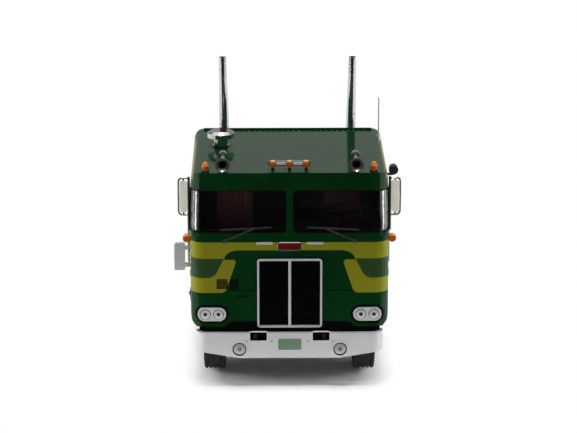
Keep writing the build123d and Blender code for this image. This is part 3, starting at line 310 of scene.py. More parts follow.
class Graph:
    """Node tree of one material or of the world."""

    def __init__(self, owner: bpy.types.Material | bpy.types.World) -> None:
        """Start with no nodes.

        Args:
            owner: material or world that holds the nodes.
        """
        self.owner = owner
        owner.use_nodes = True
        self.tree = owner.node_tree
        self.tree.nodes.clear()

    def node(self, kind: str, settings: dict | None = None, sockets: dict | None = None,
             out: str | int = 0) -> Sig:
        """Add a node.

        Args:
            kind: node type.
            settings: properties, set before the sockets.
            sockets: value or link for each input, by name or index.
            out: output to hand back.

        Returns:
            The chosen output.
        """
        made = self.tree.nodes.new(kind)
        for key, value in (settings or {}).items():
            setattr(made, key, value)
        for key, value in (sockets or {}).items():
            if isinstance(value, Sig):
                self.tree.links.new(value.socket, made.inputs[key])
            else:
                made.inputs[key].default_value = value
        return Sig(self, made.outputs[out] if made.outputs else None)

    def math(self, operation: str, a: Value, b: Value = 0.0, clamp: bool = False) -> Sig:
        """Result of a Math node on two values, kept from 0 to 1 where it is clamped."""
        return self.node("ShaderNodeMath", {"operation": operation, "use_clamp": clamp}, {0: a, 1: b})

    def mix(self, factor: Value, a: Sig | Colour, b: Sig | Colour) -> Sig:
        """Mix of two colours, where the factor is the share of the second."""
        first, second = (value if isinstance(value, Sig) else (*value, 1.0) for value in (a, b))
        return self.node("ShaderNodeMix", {"data_type": "RGBA"}, {0: factor, 6: first, 7: second}, 2)

    def blend(self, factor: Value, a: Sig, b: Sig) -> Sig:
        """Mix of two shaders, where the factor is the share of the second."""
        return self.node("ShaderNodeMixShader", {}, {0: factor, 1: a, 2: b})

    def shine(self, kind: str, strength: float) -> Sig:
        """White Emission or Background shader of a strength."""
        return self.node(f"ShaderNode{kind}", {}, {"Color": WHITE, "Strength": strength})

    def place(self) -> Sig:
        """Point on the object, in metres."""
        return self.node("ShaderNodeTexCoord", out="Object")

    def split(self, vector: Sig, scale: float = 1 / MM) -> tuple[Sig, Sig, Sig]:
        """X, Y and Z of a vector, which come out in millimetres when it is in metres."""
        return tuple(self.node("ShaderNodeSeparateXYZ", {}, {0: vector}, part) * scale for part in range(3))

    def rays(self) -> tuple[Sig, Sig, Sig]:
        """Masks of the rays that reach the stage with no matt bounce before it.

        Returns:
            Rays from the camera, off mirrors and straight through glass.
        """
        path = "ShaderNodeLightPath"
        kinds = ("Camera", "Glossy", "Transmission")
        eye, gloss, through = (self.node(path, out=f"Is {kind} Ray") for kind in kinds)
        matt, mirrored = (self.node(path, out=f"{kind} Depth").least(1.0) for kind in ("Diffuse", "Glossy"))
        return eye, gloss * (1 - matt), through * (1 - matt) * (1 - mirrored)

    def noise(self, scale: float, detail: float = 3.0, rough: float = 0.5) -> Sig:
        """Noise over the object.

        Args:
            scale: cells in a metre.
            detail: number of octaves.
            rough: weight of the finer octaves.

        Returns:
            A value near 0.5.
        """
        wanted = {"Vector": self.place(), "Scale": scale, "Detail": detail, "Roughness": rough}
        return self.node("ShaderNodeTexNoise", {}, wanted, "Fac")

    def bump(self, height: Sig, depth: float, strength: float = 1.0) -> Sig:
        """Normal bent by a height from 0 to 1, whose depth is in metres."""
        return self.node("ShaderNodeBump", {}, {"Height": height, "Distance": depth, "Strength": strength})

    def edges(self, radius: float) -> Sig:
        """Mask that is 1 along sharp edges.

        Args:
            radius: width of the edge in metres.

        Returns:
            The mask.
        """
        soft_normal = self.node("ShaderNodeBevel", {"samples": 4}, {"Radius": radius})
        normal = self.node("ShaderNodeNewGeometry", out="Normal")
        pair = {0: soft_normal, 1: normal}
        return self.node("ShaderNodeVectorMath", {"operation": "DOT_PRODUCT"}, pair, "Value").below(0.93, 0.1)

    def surface(self, sockets: dict) -> bpy.types.Material:
        """Close the material with a Principled shader.

        Args:
            sockets: value or link for each input.

        Returns:
            The material.
        """
        shader = self.node("ShaderNodeBsdfPrincipled", {}, sockets)
        self.node("ShaderNodeOutputMaterial", {}, {"Surface": shader})
        return self.owner


@dataclass(frozen=True)
class Finish:
    """Finish of a surface, with scales in cells to a metre and depths in metres."""

    name: str
    slot: str
    colour: Colour

    def material(self) -> bpy.types.Material:
        """Material of this finish, made once."""
        return bpy.data.materials.get(self.name) or self.make(Graph(bpy.data.materials.new(self.name)))

    def dimmed(self, share: float) -> Colour:
        """Colour of this finish times a share."""
        return tuple(share * part for part in self.colour)

    def make(self, graph: Graph) -> bpy.types.Material:
        """Build the nodes in an empty material."""
        raise NotImplementedError


@dataclass(frozen=True)
class Enamel(Finish):
    """Deep gloss enamel over die-cast metal, with a faint orange peel."""

    deep: Colour = (0.0010, 0.0200, 0.0035)
    peel: float = 900.0
    peel_depth: float = 0.000008
    dust: float = 240.0
    cloud: float = 120.0
    cloud_soft: float = 0.7
    rough: float = 0.07
    dust_rough: float = 0.08
    dull_rough: float = 0.5
    clear_coat: float = 0.2

    def paint(self, graph: Graph) -> Sig:
        """Colour of the enamel, a little darker in clouds."""
        shade = graph.noise(self.cloud).above(0.5, self.cloud_soft)
        return graph.mix(shade, self.deep, self.colour)

    def coat(self, graph: Graph, colour: Sig, dull: Value = 0.0) -> bpy.types.Material:
        """Gloss over a colour.

        Args:
            graph: material in the making.
            colour: colour of the paint.
            dull: share of bare matt metal.

        Returns:
            The finished material.
        """
        peel = graph.noise(self.peel, 2.0)
        dust = graph.noise(self.dust, 4.0, 0.6)
        return graph.surface({
            "Base Color": colour,
            "Roughness": self.rough + self.dust_rough * dust + self.dull_rough * dull,
            "Specular IOR Level": 0.40,
            "Coat Weight": self.clear_coat - self.clear_coat * dull,
            "Coat Roughness": 0.03,
            "Normal": graph.bump(peel, self.peel_depth),
        })

    def make(self, graph: Graph) -> bpy.types.Material:
        """Plain gloss enamel."""
        return self.coat(graph, self.paint(graph))


@dataclass(frozen=True)
class StripedEnamel(Enamel):
    """Green enamel with yellow stripes and an olive band, laid out in millimetres, and dark trim inside."""

    cloud_soft: float = 0.9
    yellow: Colour = (0.222, 0.217, 0.013)
    olive: Colour = (0.024, 0.056, 0.018)
    lining: Colour = (0.0060, 0.0035, 0.0035)
    stripe_high: float = 41.1
    stripe_low: float = 36.4
    centre_low: float = 38.8
    shoulder: Span = (14.0, 4.0)  # start of the stripe's curved lower edge, and its reach
    band_low: float = 30.8
    band_corner: float = 1.7
    lower_low: float = 26.5
    leg_top: float = 36.1
    leg_corner: float = 1.2
    leg_inner: Span = (14.6, 0.34)  # distance from the centre at the leg's top, and slope
    leg_outer: Span = (18.3, 0.50)
    front_y: float = -66.0
    aside: float = 100.0  # carries the legs' slanted edges clear of the sides
    rail_x: float = 20.0
    rail_y: Span = (-66.2, -29.5)
    rail_z: Span = (58.4, 60.1)
    belt: Span = (42.6, 18.0)  # height where the walls start to lean, and height of the lean
    tumble: float = 0.4
    inner_half: float = 26.4
    inner_y: Span = (-67.2, -19.0)
    inner_high: float = 59.5
    soft: float = 0.10

    def inside(self, x: Sig, y: Sig, z: Sig) -> Sig:
        """Mask of the casting's inner faces, which lean with the walls.

        Args:
            x: place across, in millimetres.
            y: place along.
            z: height.

        Returns:
            The mask.
        """
        lean, s = ((z - self.belt[0]) / self.belt[1]).most(0.0), self.soft
        walls = abs(x).below(self.inner_half - self.tumble * lean, s) * z.below(self.inner_high, s)
        return walls * y.above(self.inner_y[0] + lean, s) * y.below(self.inner_y[1], s)

    def make(self, graph: Graph) -> bpy.types.Material:
        """Lay the stripes over the green.

        Args:
            graph: empty material.

        Returns:
            The finished material.
        """
        x, y, z = graph.split(graph.place())
        out, s = abs(x), self.soft
        side = y.above(self.front_y, s) * self.aside
        reach = ((out - self.shoulder[0]) / self.shoulder[1]).most(0.0).least(1.0)
        arch = self.stripe_low + (self.centre_low - self.stripe_low) * (1 - reach * reach).most(0.0) ** 0.5
        upper = z.below(self.stripe_high, s) * z.above(arch, s)
        fall = self.leg_top - z
        legs = (self.leg_inner, self.leg_outer)
        inner, outer = (start + fall * slope - out - side for start, slope in legs)
        leg = (z - self.leg_top).most(self.lower_low - z).meet(inner, self.leg_corner).below(0.0, s)
        band = (self.band_low - z).meet(outer, self.band_corner).below(0.0, s) * z.below(self.stripe_low, s)
        rail = z.between(self.rail_z, s) * y.between(self.rail_y, s) * out.above(self.rail_x, s)
        lined = upper.most(leg * (1 - band)).most(rail)
        colour = graph.mix(lined, graph.mix(band, self.paint(graph), self.olive), self.yellow)
        inside = self.inside(x, y, z)
        return self.coat(graph, graph.mix(inside, colour, self.lining), inside)


@dataclass(frozen=True)
class Plating(Finish):
    """Bright plated plastic or metal with faint smears."""

    rough: float = 0.05
    spread: float = 0.09
    smear: float = 160.0
    smear_dim: float = 0.86
    grain: float = 2600.0
    depth: float = 0.000004

    def make(self, graph: Graph) -> bpy.types.Material:
        """Mirror metal whose gloss wanders a little.

        Args:
            graph: empty material.

        Returns:
            The finished material.
        """
        smear = graph.noise(self.smear, 4.0, 0.6)
        return graph.surface({
            "Base Color": graph.mix(smear, self.colour, self.dimmed(self.smear_dim)),
            "Metallic": 1.0,
            "Roughness": self.rough + self.spread * smear,
            "Normal": graph.bump(graph.noise(self.grain, 2.0), self.depth),
        })


@dataclass(frozen=True)
class SatinMetal(Finish):
    """Metallic paint or cast metal with a fine grain and paler edges."""

    metal: float = 0.8
    rough: float = 0.34
    spread: float = 0.16
    grain: float = 5200.0
    depth: float = 0.000012
    cloud: float = 140.0
    cloud_dim: float = 0.82
    edge: Colour = (0.75, 0.75, 0.76)
    edge_width: float = 0.00025
    wear: float = 0.35

    def make(self, graph: Graph) -> bpy.types.Material:
        """Grained metal, brighter where edges wear.

        Args:
            graph: empty material.

        Returns:
            The finished material.
        """
        fleck = graph.noise(self.grain, 2.0)
        cloud = graph.noise(self.cloud)
        base = graph.mix(cloud, self.colour, self.dimmed(self.cloud_dim))
        worn = graph.edges(self.edge_width) * self.wear * cloud.above(0.45, 0.3)
        return graph.surface({
            "Base Color": graph.mix(worn, base, self.edge),
            "Metallic": self.metal,
            "Roughness": self.rough + self.spread * (fleck - 0.5),
            "Normal": graph.bump(fleck, self.depth),
        })


@dataclass(frozen=True)
class FramedShell(Finish):
    """Pale moulded mirror head in a bright tube frame."""

    bright: Colour = (0.88, 0.88, 0.89)
    head_x: Span = (28.40, 30.34)
    head_z: Span = (47.60, 56.60)
    soft: float = 0.02
    rough: float = 0.08
    head_rough: float = 0.22
    grain_rough: float = 0.04
    grain: float = 3000.0
    depth: float = 0.000006
    cloud: float = 160.0
    cloud_dim: float = 0.92

    def make(self, graph: Graph) -> bpy.types.Material:
        """Plated outside the head's bounds, satin inside them.

        Args:
            graph: empty material.

        Returns:
            The finished material.
        """
        x, _, z = graph.split(graph.place())
        head = abs(x).between(self.head_x, self.soft) * z.between(self.head_z, self.soft)
        grain = graph.noise(self.grain, 2.0)
        shell = graph.mix(graph.noise(self.cloud), self.colour, self.dimmed(self.cloud_dim))
        return graph.surface({
            "Base Color": graph.mix(head, self.bright, shell),
            "Metallic": 1 - head,
            "Roughness": self.rough + self.head_rough * head + self.grain_rough * grain,
            "Normal": graph.bump(grain, self.depth),
        })


@dataclass(frozen=True)
class Moulded(Finish):
    """Moulded plastic or rubber with a fine skin and dust in it."""

    rough: float = 0.5
    spread: float = 0.2
    grain: float = 3800.0
    depth: float = 0.00002
    cloud: float = 210.0
    dust: Colour = (0.10, 0.10, 0.10)
    dusty: float = 0.18
    shine: float = 0.4

    def make(self, graph: Graph) -> bpy.types.Material:
        """Grained skin with a dusty cloud.

        Args:
            graph: empty material.

        Returns:
            The finished material.
        """
        skin = graph.noise(self.grain, 3.0, 0.6)
        cloud = graph.noise(self.cloud, 4.0, 0.65).above(0.55, 0.5)
        return graph.surface({
            "Base Color": graph.mix(cloud * self.dusty, self.colour, self.dust),
            "Roughness": self.rough + self.spread * (skin - 0.5),
            "Specular IOR Level": self.shine,
            "Normal": graph.bump(skin, self.depth),
        })


@dataclass(frozen=True)
class Louvred(Moulded):
    """Black plastic with a fine woven mesh between the louvres."""

    spread: float = 0.1
    depth: float = 0.00012
    pitch: float = 0.55

    def make(self, graph: Graph) -> bpy.types.Material:
        """Crossed ribs over black plastic.

        Args:
            graph: empty material.

        Returns:
            The finished material.
        """
        x, _, z = graph.split(graph.place())
        weave = 0.5 + 0.5 * (x.wave(self.pitch) * z.wave(self.pitch))
        return graph.surface({
            "Base Color": graph.mix(weave, self.colour, self.dust),
            "Roughness": self.rough + self.spread * weave,
            "Specular IOR Level": self.shine,
            "Normal": graph.bump(weave, self.depth, 0.5),
        })


@dataclass(frozen=True)
class LampLens(Finish):
    """Coloured clear plastic lens with moulded flutes, with painted shade in its grooves and on its lower half and a
    painted highlight on its upward faces.
    """

    # colour painted on the upward faces as a highlight
    painted_top_highlight: Colour = (0.95, 0.50, 0.14)
    # share of the colour left in the grooves and on the lower half, as painted shade
    painted_shade_share: float = 0.45
    pitch: float = 0.42
    depth: float = 0.00003
    rough: float = 0.08
    spread: float = 0.06

    def make(self, graph: Graph) -> bpy.types.Material:
        """Fluted lens with painted shade, darker in the grooves and on its lower half, and a painted highlight on its
        upward faces.

        Args:
            graph: empty material.

        Returns:
            The finished material.
        """
        across, _, _ = graph.split(graph.place())
        flute = 0.5 + 0.5 * across.wave(self.pitch)
        rise = graph.split(graph.node("ShaderNodeNewGeometry", out="Normal"), 1.0)[2]
        # painted shade in the grooves and on faces turned down, painted highlight on faces turned up
        body = graph.mix(rise.above(0.0, 1.2) * (0.6 + 0.4 * flute), self.dimmed(self.painted_shade_share), self.colour)
        return graph.surface({
            "Base Color": graph.mix(rise.above(0.6, 0.5), body, self.painted_top_highlight),
            "Roughness": self.rough + self.spread * flute,
            "Transmission Weight": 0.1,
            "Coat Weight": 0.4,
            "Coat Roughness": 0.03,
            "Normal": graph.bump(flute, self.depth, 0.5),
        })


@dataclass(frozen=True)
class Reflector(Finish):
    """Silvered lamp behind clear plastic with moulded blocks."""

    pitch: float = 0.5
    block_soft: float = 0.9
    block_dim: float = 0.8
    depth: float = 0.00004
    rough: float = 0.22
    spread: float = 0.1

    def make(self, graph: Graph) -> bpy.types.Material:
        """Silver with a blocked lens pattern.

        Args:
            graph: empty material.

        Returns:
            The finished material.
        """
        x, _, z = graph.split(graph.place())
        columns, rows = (place.wave(self.pitch).above(0.0, self.block_soft) for place in (x, z))
        block = columns * rows
        return graph.surface({
            "Base Color": graph.mix(block, self.colour, self.dimmed(self.block_dim)),
            "Metallic": 0.35,
            "Roughness": self.rough + self.spread * block,
            "Coat Weight": 0.8,
            "Coat Roughness": 0.03,
            "Normal": graph.bump(block, self.depth, 0.5),
        })


@dataclass(frozen=True)
class ClearGlass(Finish):
    """Clear moulded glazing, faintly smoked."""

    smear: float = 180.0
    smear_dim: float = 0.9
    rough: float = 0.01
    spread: float = 0.03

    def make(self, graph: Graph) -> bpy.types.Material:
        """Clear plastic with light smears.

        Args:
            graph: empty material.

        Returns:
            The finished material.
        """
        smear = graph.noise(self.smear, 4.0, 0.6)
        return graph.surface({
            "Base Color": graph.mix(smear, self.colour, self.dimmed(self.smear_dim)),
            "Roughness": self.rough + self.spread * smear,
            "IOR": 1.46,
            "Transmission Weight": 1.0,
        })


@dataclass(frozen=True)
class Fluted(Finish):
    """Moulded seat trim with fluted panels, with painted shade in the flutes' grooves."""

    pitch: float = 1.3
    painted_groove_shade: float = 0.7
    grain: float = 4200.0
    grain_share: float = 0.2
    depth: float = 0.0001
    rough: float = 0.5
    spread: float = 0.2

    def make(self, graph: Graph) -> bpy.types.Material:
        """Flutes across the seat, darker in the grooves as painted shade, and a fine grain.

        Args:
            graph: empty material.

        Returns:
            The finished material.
        """
        x, _, _ = graph.split(graph.place())
        flute = abs(x.wave(2 * self.pitch))
        grain = graph.noise(self.grain, 3.0, 0.6)
        height = flute * (1 - self.grain_share) + grain * self.grain_share
        return graph.surface({
            # the grooves take a darker colour as painted shade
            "Base Color": graph.mix(flute, self.dimmed(self.painted_groove_shade), self.colour),
            "Roughness": self.rough + self.spread * grain,
            "Specular IOR Level": 0.25,
            "Normal": graph.bump(height, self.depth, 0.5),
        })


GREEN = StripedEnamel("striped_green_enamel", "green_paint", (0.0022, 0.0430, 0.0075))
GLASS = ClearGlass("clear_glazing", "clear_glass", (0.80, 0.84, 0.82))
CHROME = Plating("bright_plating", "plated", (0.90, 0.90, 0.91))
POLISHED = SatinMetal("polished_light_metal", "plated", (0.58, 0.58, 0.60),
                      metal=0.9, rough=0.18, depth=0.000004, wear=0.1)
MIRROR = Plating("mirror_glass", "plated", (0.80, 0.82, 0.84), rough=0.01, spread=0.02)
SILVER = SatinMetal("satin_silver_paint", "silver", (0.68, 0.68, 0.70), metal=0.15, rough=0.30, wear=0.1)
BLACK = Moulded("black_moulded_plastic", "black_plastic", (0.012, 0.012, 0.013), rough=0.45)
GASKET = Moulded("matt_black_rubber", "black_plastic", (0.0025, 0.0025, 0.0030),
                 rough=0.8, dusty=0.01, shine=0.08)
MESH = Louvred("black_grille_mesh", "black_plastic", (0.0012, 0.0012, 0.0020),
               rough=0.7, dust=(0.0050, 0.0050, 0.0075), shine=0.12)
FRAME_BLACK = SatinMetal("frame_black_enamel", "frame_black", (0.020, 0.020, 0.022),
                         metal=0.1, rough=0.42, edge=(0.20, 0.20, 0.21), wear=0.3)
RED = Fluted("dark_red_trim", "trim_red", (0.085, 0.006, 0.007))
TRIM = Moulded("dark_trim_plastic", "trim_red", (0.014, 0.009, 0.009), rough=0.55, dusty=0.05)
AMBER = LampLens("fluted_amber_lens", "amber_lens", (0.75, 0.140, 0.008))
RED_LENS = LampLens("fluted_red_lens", "red_lens", (0.55, 0.012, 0.010), painted_top_highlight=(0.80, 0.10, 0.08))
LAMP = Reflector("silvered_lamp", "clear_lens", (0.84, 0.85, 0.86))
FOG = Reflector("ribbed_fog_lens", "clear_lens", (0.52, 0.55, 0.51), pitch=0.7)
STEEL = SatinMetal("bare_steel", "steel", (0.42, 0.42, 0.43), metal=1.0, rough=0.36)
DULL = SatinMetal("dull_grey_metal", "steel", (0.07, 0.07, 0.07), metal=0.5, rough=0.4, wear=0.1)
CAST = SatinMetal("dark_cast_metal", "frame_black", (0.055, 0.055, 0.058),
                  metal=0.6, rough=0.46, depth=0.00003)
DECK = SatinMetal("deck_metal", "silver", (0.46, 0.46, 0.47), metal=0.3, rough=0.55)
RUBBER = Moulded("dusty_black_rubber", "tyre_rubber", (0.013, 0.013, 0.014),
                 rough=0.68, dust=(0.05, 0.049, 0.047), dusty=0.3)
ENAMEL_RED = Enamel("dark_red_enamel", "trim_red", (0.160, 0.010, 0.012), deep=(0.09, 0.004, 0.005))
WARM_SHELL = FramedShell("warm_shell_in_plated_frame", "silver", (0.94, 0.90, 0.78))
PALE_METAL = SatinMetal("pale_satin_metal", "plated", (0.68, 0.68, 0.69), metal=0.3, rough=0.28, wear=0.1)
PLATE = Moulded("pale_green_plate", "green_paint", (0.140, 0.225, 0.140), rough=0.4, dusty=0.05)


class Form:
    """Mesh in the making, written in millimetres."""

    def __init__(self) -> None:
        """Start with no faces."""
        self.mesh = bmesh.new()

    def ring(self, points: list[Vector]) -> Ring:
        """Add the corners of a ring."""
        return [self.mesh.verts.new(point * MM) for point in points]

    def bridge(self, rings: list[Ring], closed: bool = False) -> None:
        """Skin neighbouring rings with quads.

        Args:
            rings: rings of corners, equal in count.
            closed: join the last ring to the first.
        """
        for low, high in zip(rings, rings[1:] + rings[:1] if closed else rings[1:]):
            for i in range(len(low)):
                j = (i + 1) % len(low)
                self.mesh.faces.new((low[i], low[j], high[j], high[i]))

    def capped(self, rings: list[Ring]) -> None:
        """Skin neighbouring rings and close both ends.

        Args:
            rings: rings of corners, equal in count.
        """
        self.bridge(rings)
        self.mesh.faces.new(list(reversed(rings[0])))
        self.mesh.faces.new(rings[-1])

    def lathe(self, profile: list[Span], centre: Point, axis: Axis, steps: int = 48,
              closed: bool = False, way: float = 1.0) -> None:
        """Turn a profile about an axis.

        Args:
            profile: radius and height of each corner; a zero radius closes an end.
            centre: foot of the axis.
            axis: axis of the turn.
            steps: corners round the turn.
            closed: join the last corner of the profile to its first.
            way: sign of the heights along the axis.
        """
        u, v, w = axis.frame()
        turns = [math.tau * i / steps for i in range(steps)]
        spokes = [u * math.cos(turn) + v * math.sin(turn) for turn in turns]
        rings = []
        for radius, height in profile:
            middle = Vector(centre) + w * (height * way)
            rings.append(self.ring([middle + spoke * radius for spoke in spokes] if radius > 0 else [middle]))
        for low, high in zip(rings, rings[1:] + rings[:1] if closed else rings[1:]):
            tip, rim = sorted((low, high), key=len)
            if len(tip) > 1:
                self.bridge([low, high])
                continue
            for i in range(steps):
                self.mesh.faces.new((tip[0], rim[i], rim[(i + 1) % steps]))

    def tube(self, path: list[Vector], radius: float, closed: bool = False, sides: int = 10) -> None:
        """Round bar along a path.

        Args:
            path: points of the centre line.
            radius: radius of the bar.
            closed: join the end to the start.
            sides: corners round the bar.
        """
        rings = []
        up = None
        turns = [math.tau * k / sides for k in range(sides)]
        for i, point in enumerate(path):
            after = path[(i + 1) % len(path)] if closed or i + 1 < len(path) else point
            before = path[i - 1] if closed or i else point
            along = (after - before).normalized()
            if up is None:
                up = Vector((0, 0, 1)) if abs(along.z) < 0.9 else Vector((0, 1, 0))
            up = (up - along * up.dot(along)).normalized()
            across = along.cross(up)
            spokes = [across * math.cos(turn) + up * math.sin(turn) for turn in turns]
            rings.append(self.ring([point + spoke * radius for spoke in spokes]))
        if closed:
            self.bridge(rings, closed=True)
        else:
            self.capped(rings)

    def slab(self, x: Span, y: Span, z: Span, bevel: float = 0.0, steps: int = 2) -> None:
        """Block with rounded edges.

        Args:
            x: lowest and highest place across.
            y: first and last place along.
            z: lowest and highest place up.
            bevel: radius of the edges.
            steps: facets of each edge.
        """
        low, high = (Vector(corner) for corner in zip(x, y, z))
        matrix = Matrix.Translation((low + high) / 2 * MM) @ Matrix.Diagonal((*(high - low) * MM, 1.0))
        block = bmesh.new()
        bmesh.ops.create_cube(block, size=1.0, matrix=matrix)
        if bevel:
            bmesh.ops.bevel(block, geom=block.edges[:], offset=bevel * MM, segments=steps, profile=0.5,
                            affect="EDGES")
        corners = {vert: self.mesh.verts.new(vert.co) for vert in block.verts}
        for face in block.faces:
            self.mesh.faces.new([corners[vert] for vert in face.verts])
        block.free()

    def plaque(self, half: Span, corner: float, centre: Point, thick: float, bevel: float) -> None:
        """Rounded rectangle that faces the front.

        Args:
            half: half of its width and height.
            corner: radius of its corners.
            centre: middle of its foot.
            thick: height over its foot.
            bevel: slope of its edge.
        """
        rings = []
        for inset, step in ((0.0, SUNK), (0.0, bevel - thick), (bevel, -thick)):
            wide, tall = half[0] - inset, half[1] - inset
            line = rounded((-wide, wide), (-tall, tall), corner - inset, 6)
            rings.append(self.ring([Vector(centre) + Vector((x, step, z)) for x, z in line]))
        self.capped(rings)

    def stud(self, centre: Point, axis: Axis, radius: float) -> None:
        """Rivet with a domed head.

        Args:
            centre: middle of its foot.
            axis: axis of the rivet.
            radius: radius of its head.
        """
        dome = [(0, -SUNK), (radius, -SUNK), (radius, 0.15 * radius), (0.66 * radius, 0.5 * radius),
                (0, 0.62 * radius)]
        self.lathe(dome, centre, axis, 10)

    def collar(self, inner: float, outer: float, span: Span, centre: Point, axis: Axis,
               steps: int = 48) -> None:
        """Closed ring with a small slope on its edges.

        Args:
            inner: inner radius.
            outer: outer radius.
            span: first and last place on the axis.
            centre: foot of the axis.
            axis: axis of the ring.
            steps: corners round the turn.
        """
        low, high = span
        slope = min((outer - inner) / 3, (high - low) / 4)
        profile = [(inner, low), (outer - slope, low), (outer, low + slope), (outer, high - slope),
                   (outer - slope, high), (inner, high)]
        self.lathe(profile, centre, axis, steps, closed=True)

    def nut(self, centre: Point, axis: Axis, way: float, radius: float, height: float) -> None:
        """Hexagon nut with a domed end.

        Args:
            centre: middle of its foot.
            axis: axis of the nut.
            way: sign of its outward end.
            radius: radius over corners.
            height: height of the nut.
        """
        profile = [(0, -SUNK), (radius, -SUNK), (radius, 0.72 * height), (0.78 * radius, height), (0, height)]
        self.lathe(profile, centre, axis, 6, way=way)

    def done(self, name: str, finish: Finish, body: Body = Body.TRUCK,
             angle: float = 38.0) -> bpy.types.Object:
        """Close the mesh into a piece.

        Args:
            name: name of the piece.
            finish: its finish.
            body: body that carries it.
            angle: sharpest edge that is still shaded round, in degrees.

        Returns:
            The piece.
        """
        bmesh.ops.recalc_face_normals(self.mesh, faces=self.mesh.faces)
        data = bpy.data.meshes.new(name)
        self.mesh.to_mesh(data)
        self.mesh.free()
        data.shade_smooth()
        data.set_sharp_from_angle(angle=math.radians(angle))
        data.materials.append(finish.material())
        piece = placed(name, data)
        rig.ride(piece, body.value)
        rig.slot(piece, finish.slot)
        LOG.info("made %s, %d faces", name, len(data.polygons))
        return piece


class Frame:
    """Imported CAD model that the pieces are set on."""

    def __init__(self) -> None:
        """Load the frame, and keep its box and the place of the bumper's face."""
        self.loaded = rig.load()
        self.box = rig.bounds()
        self.front = self.size("front_bumper")[0].y

    def dress(self, finish: Finish, *nodes: str) -> None:
        """Give CAD nodes a finish.

        Args:
            finish: the finish.
            nodes: names of the nodes.
        """
        for name in nodes:
            data = self.loaded["nodes"][name].data
            data.materials.clear()
            data.materials.append(finish.material())
            LOG.info("dressed %s in %s", name, finish.name)

    def size(self, node: str) -> tuple[Vector, Vector]:
        """Lowest and highest corner of a node, in millimetres."""
        low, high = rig.box(node)
        return low / MM, high / MM

    def behind(self, near: float, far: float) -> Span:
        """Two places along the truck, by their distances behind the bumper's face."""
        return self.front + near, self.front + far

    def write_size(self, path: str) -> None:
        """Write the CAD box and the dressed box.

        Args:
            path: file to write.
        """
        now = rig.bounds()
        boxes = {"cad": [list(corner) for corner in self.box], "visual": [list(corner) for corner in now]}
        with open(path, "w", encoding="utf-8") as file:
            json.dump(boxes, file, indent=1)


@dataclass
class CabSkin:
    """Outer skin of the cab, as the curve that trim follows."""

    low: Vector
    high: Vector
    belt: float = 42.6
    rake: float = 1.0
    tumble: float = 0.4
    corner: float = 4.0

    def point(self, along: float, z: float, proud: float = 0.0) -> Vector:
        """Point on the skin.

        Args:
            along: distance from the centre line, round the corner and down the side; its sign gives the side.
            z: height.
            proud: distance outside the skin.

        Returns:
            The point in millimetres.
        """
        lean = max(0.0, (z - self.belt) / (self.high.z - self.belt))
        front = self.low.y + self.rake * lean
        half = self.high.x - self.tumble * lean
        sign, run = math.copysign(1.0, along), abs(along)
        flat, arc = half - self.corner, self.corner * math.pi / 2
        if run <= flat:
            return Vector((sign * run, front - proud, z))
        if run <= flat + arc:
            turn = (run - flat) / self.corner
            reach = self.corner + proud
            x, y = flat + reach * math.sin(turn), front + self.corner - reach * math.cos(turn)
            return Vector((sign * x, y, z))
        return Vector((sign * (half + proud), front + self.corner + run - flat - arc, z))

    def along(self, y: float) -> float:
        """Distance along the skin of a place on the upright side."""
        return self.high.x - self.corner + self.corner * math.pi / 2 + y - self.low.y - self.corner

    def loop(self, span: Span, rise: Span, corner: float, proud: float, step: float = 0.7) -> list[Vector]:
        """Rounded frame on the skin.

        Args:
            span: first and last distance along the skin.
            rise: lowest and highest height.
            corner: radius of its corners.
            proud: distance outside the skin.
            step: spacing of the points.

        Returns:
            The closed line.
        """
        flat = rounded(span, rise, corner)
        line: list[Vector] = []
        for (a0, z0), (a1, z1) in zip(flat, flat[1:] + flat[:1]):
            count = max(1, round(math.hypot(a1 - a0, z1 - z0) / step))
            for i in range(count):
                line.append(self.point(a0 + (a1 - a0) * i / count, z0 + (z1 - z0) * i / count, proud))
        return line


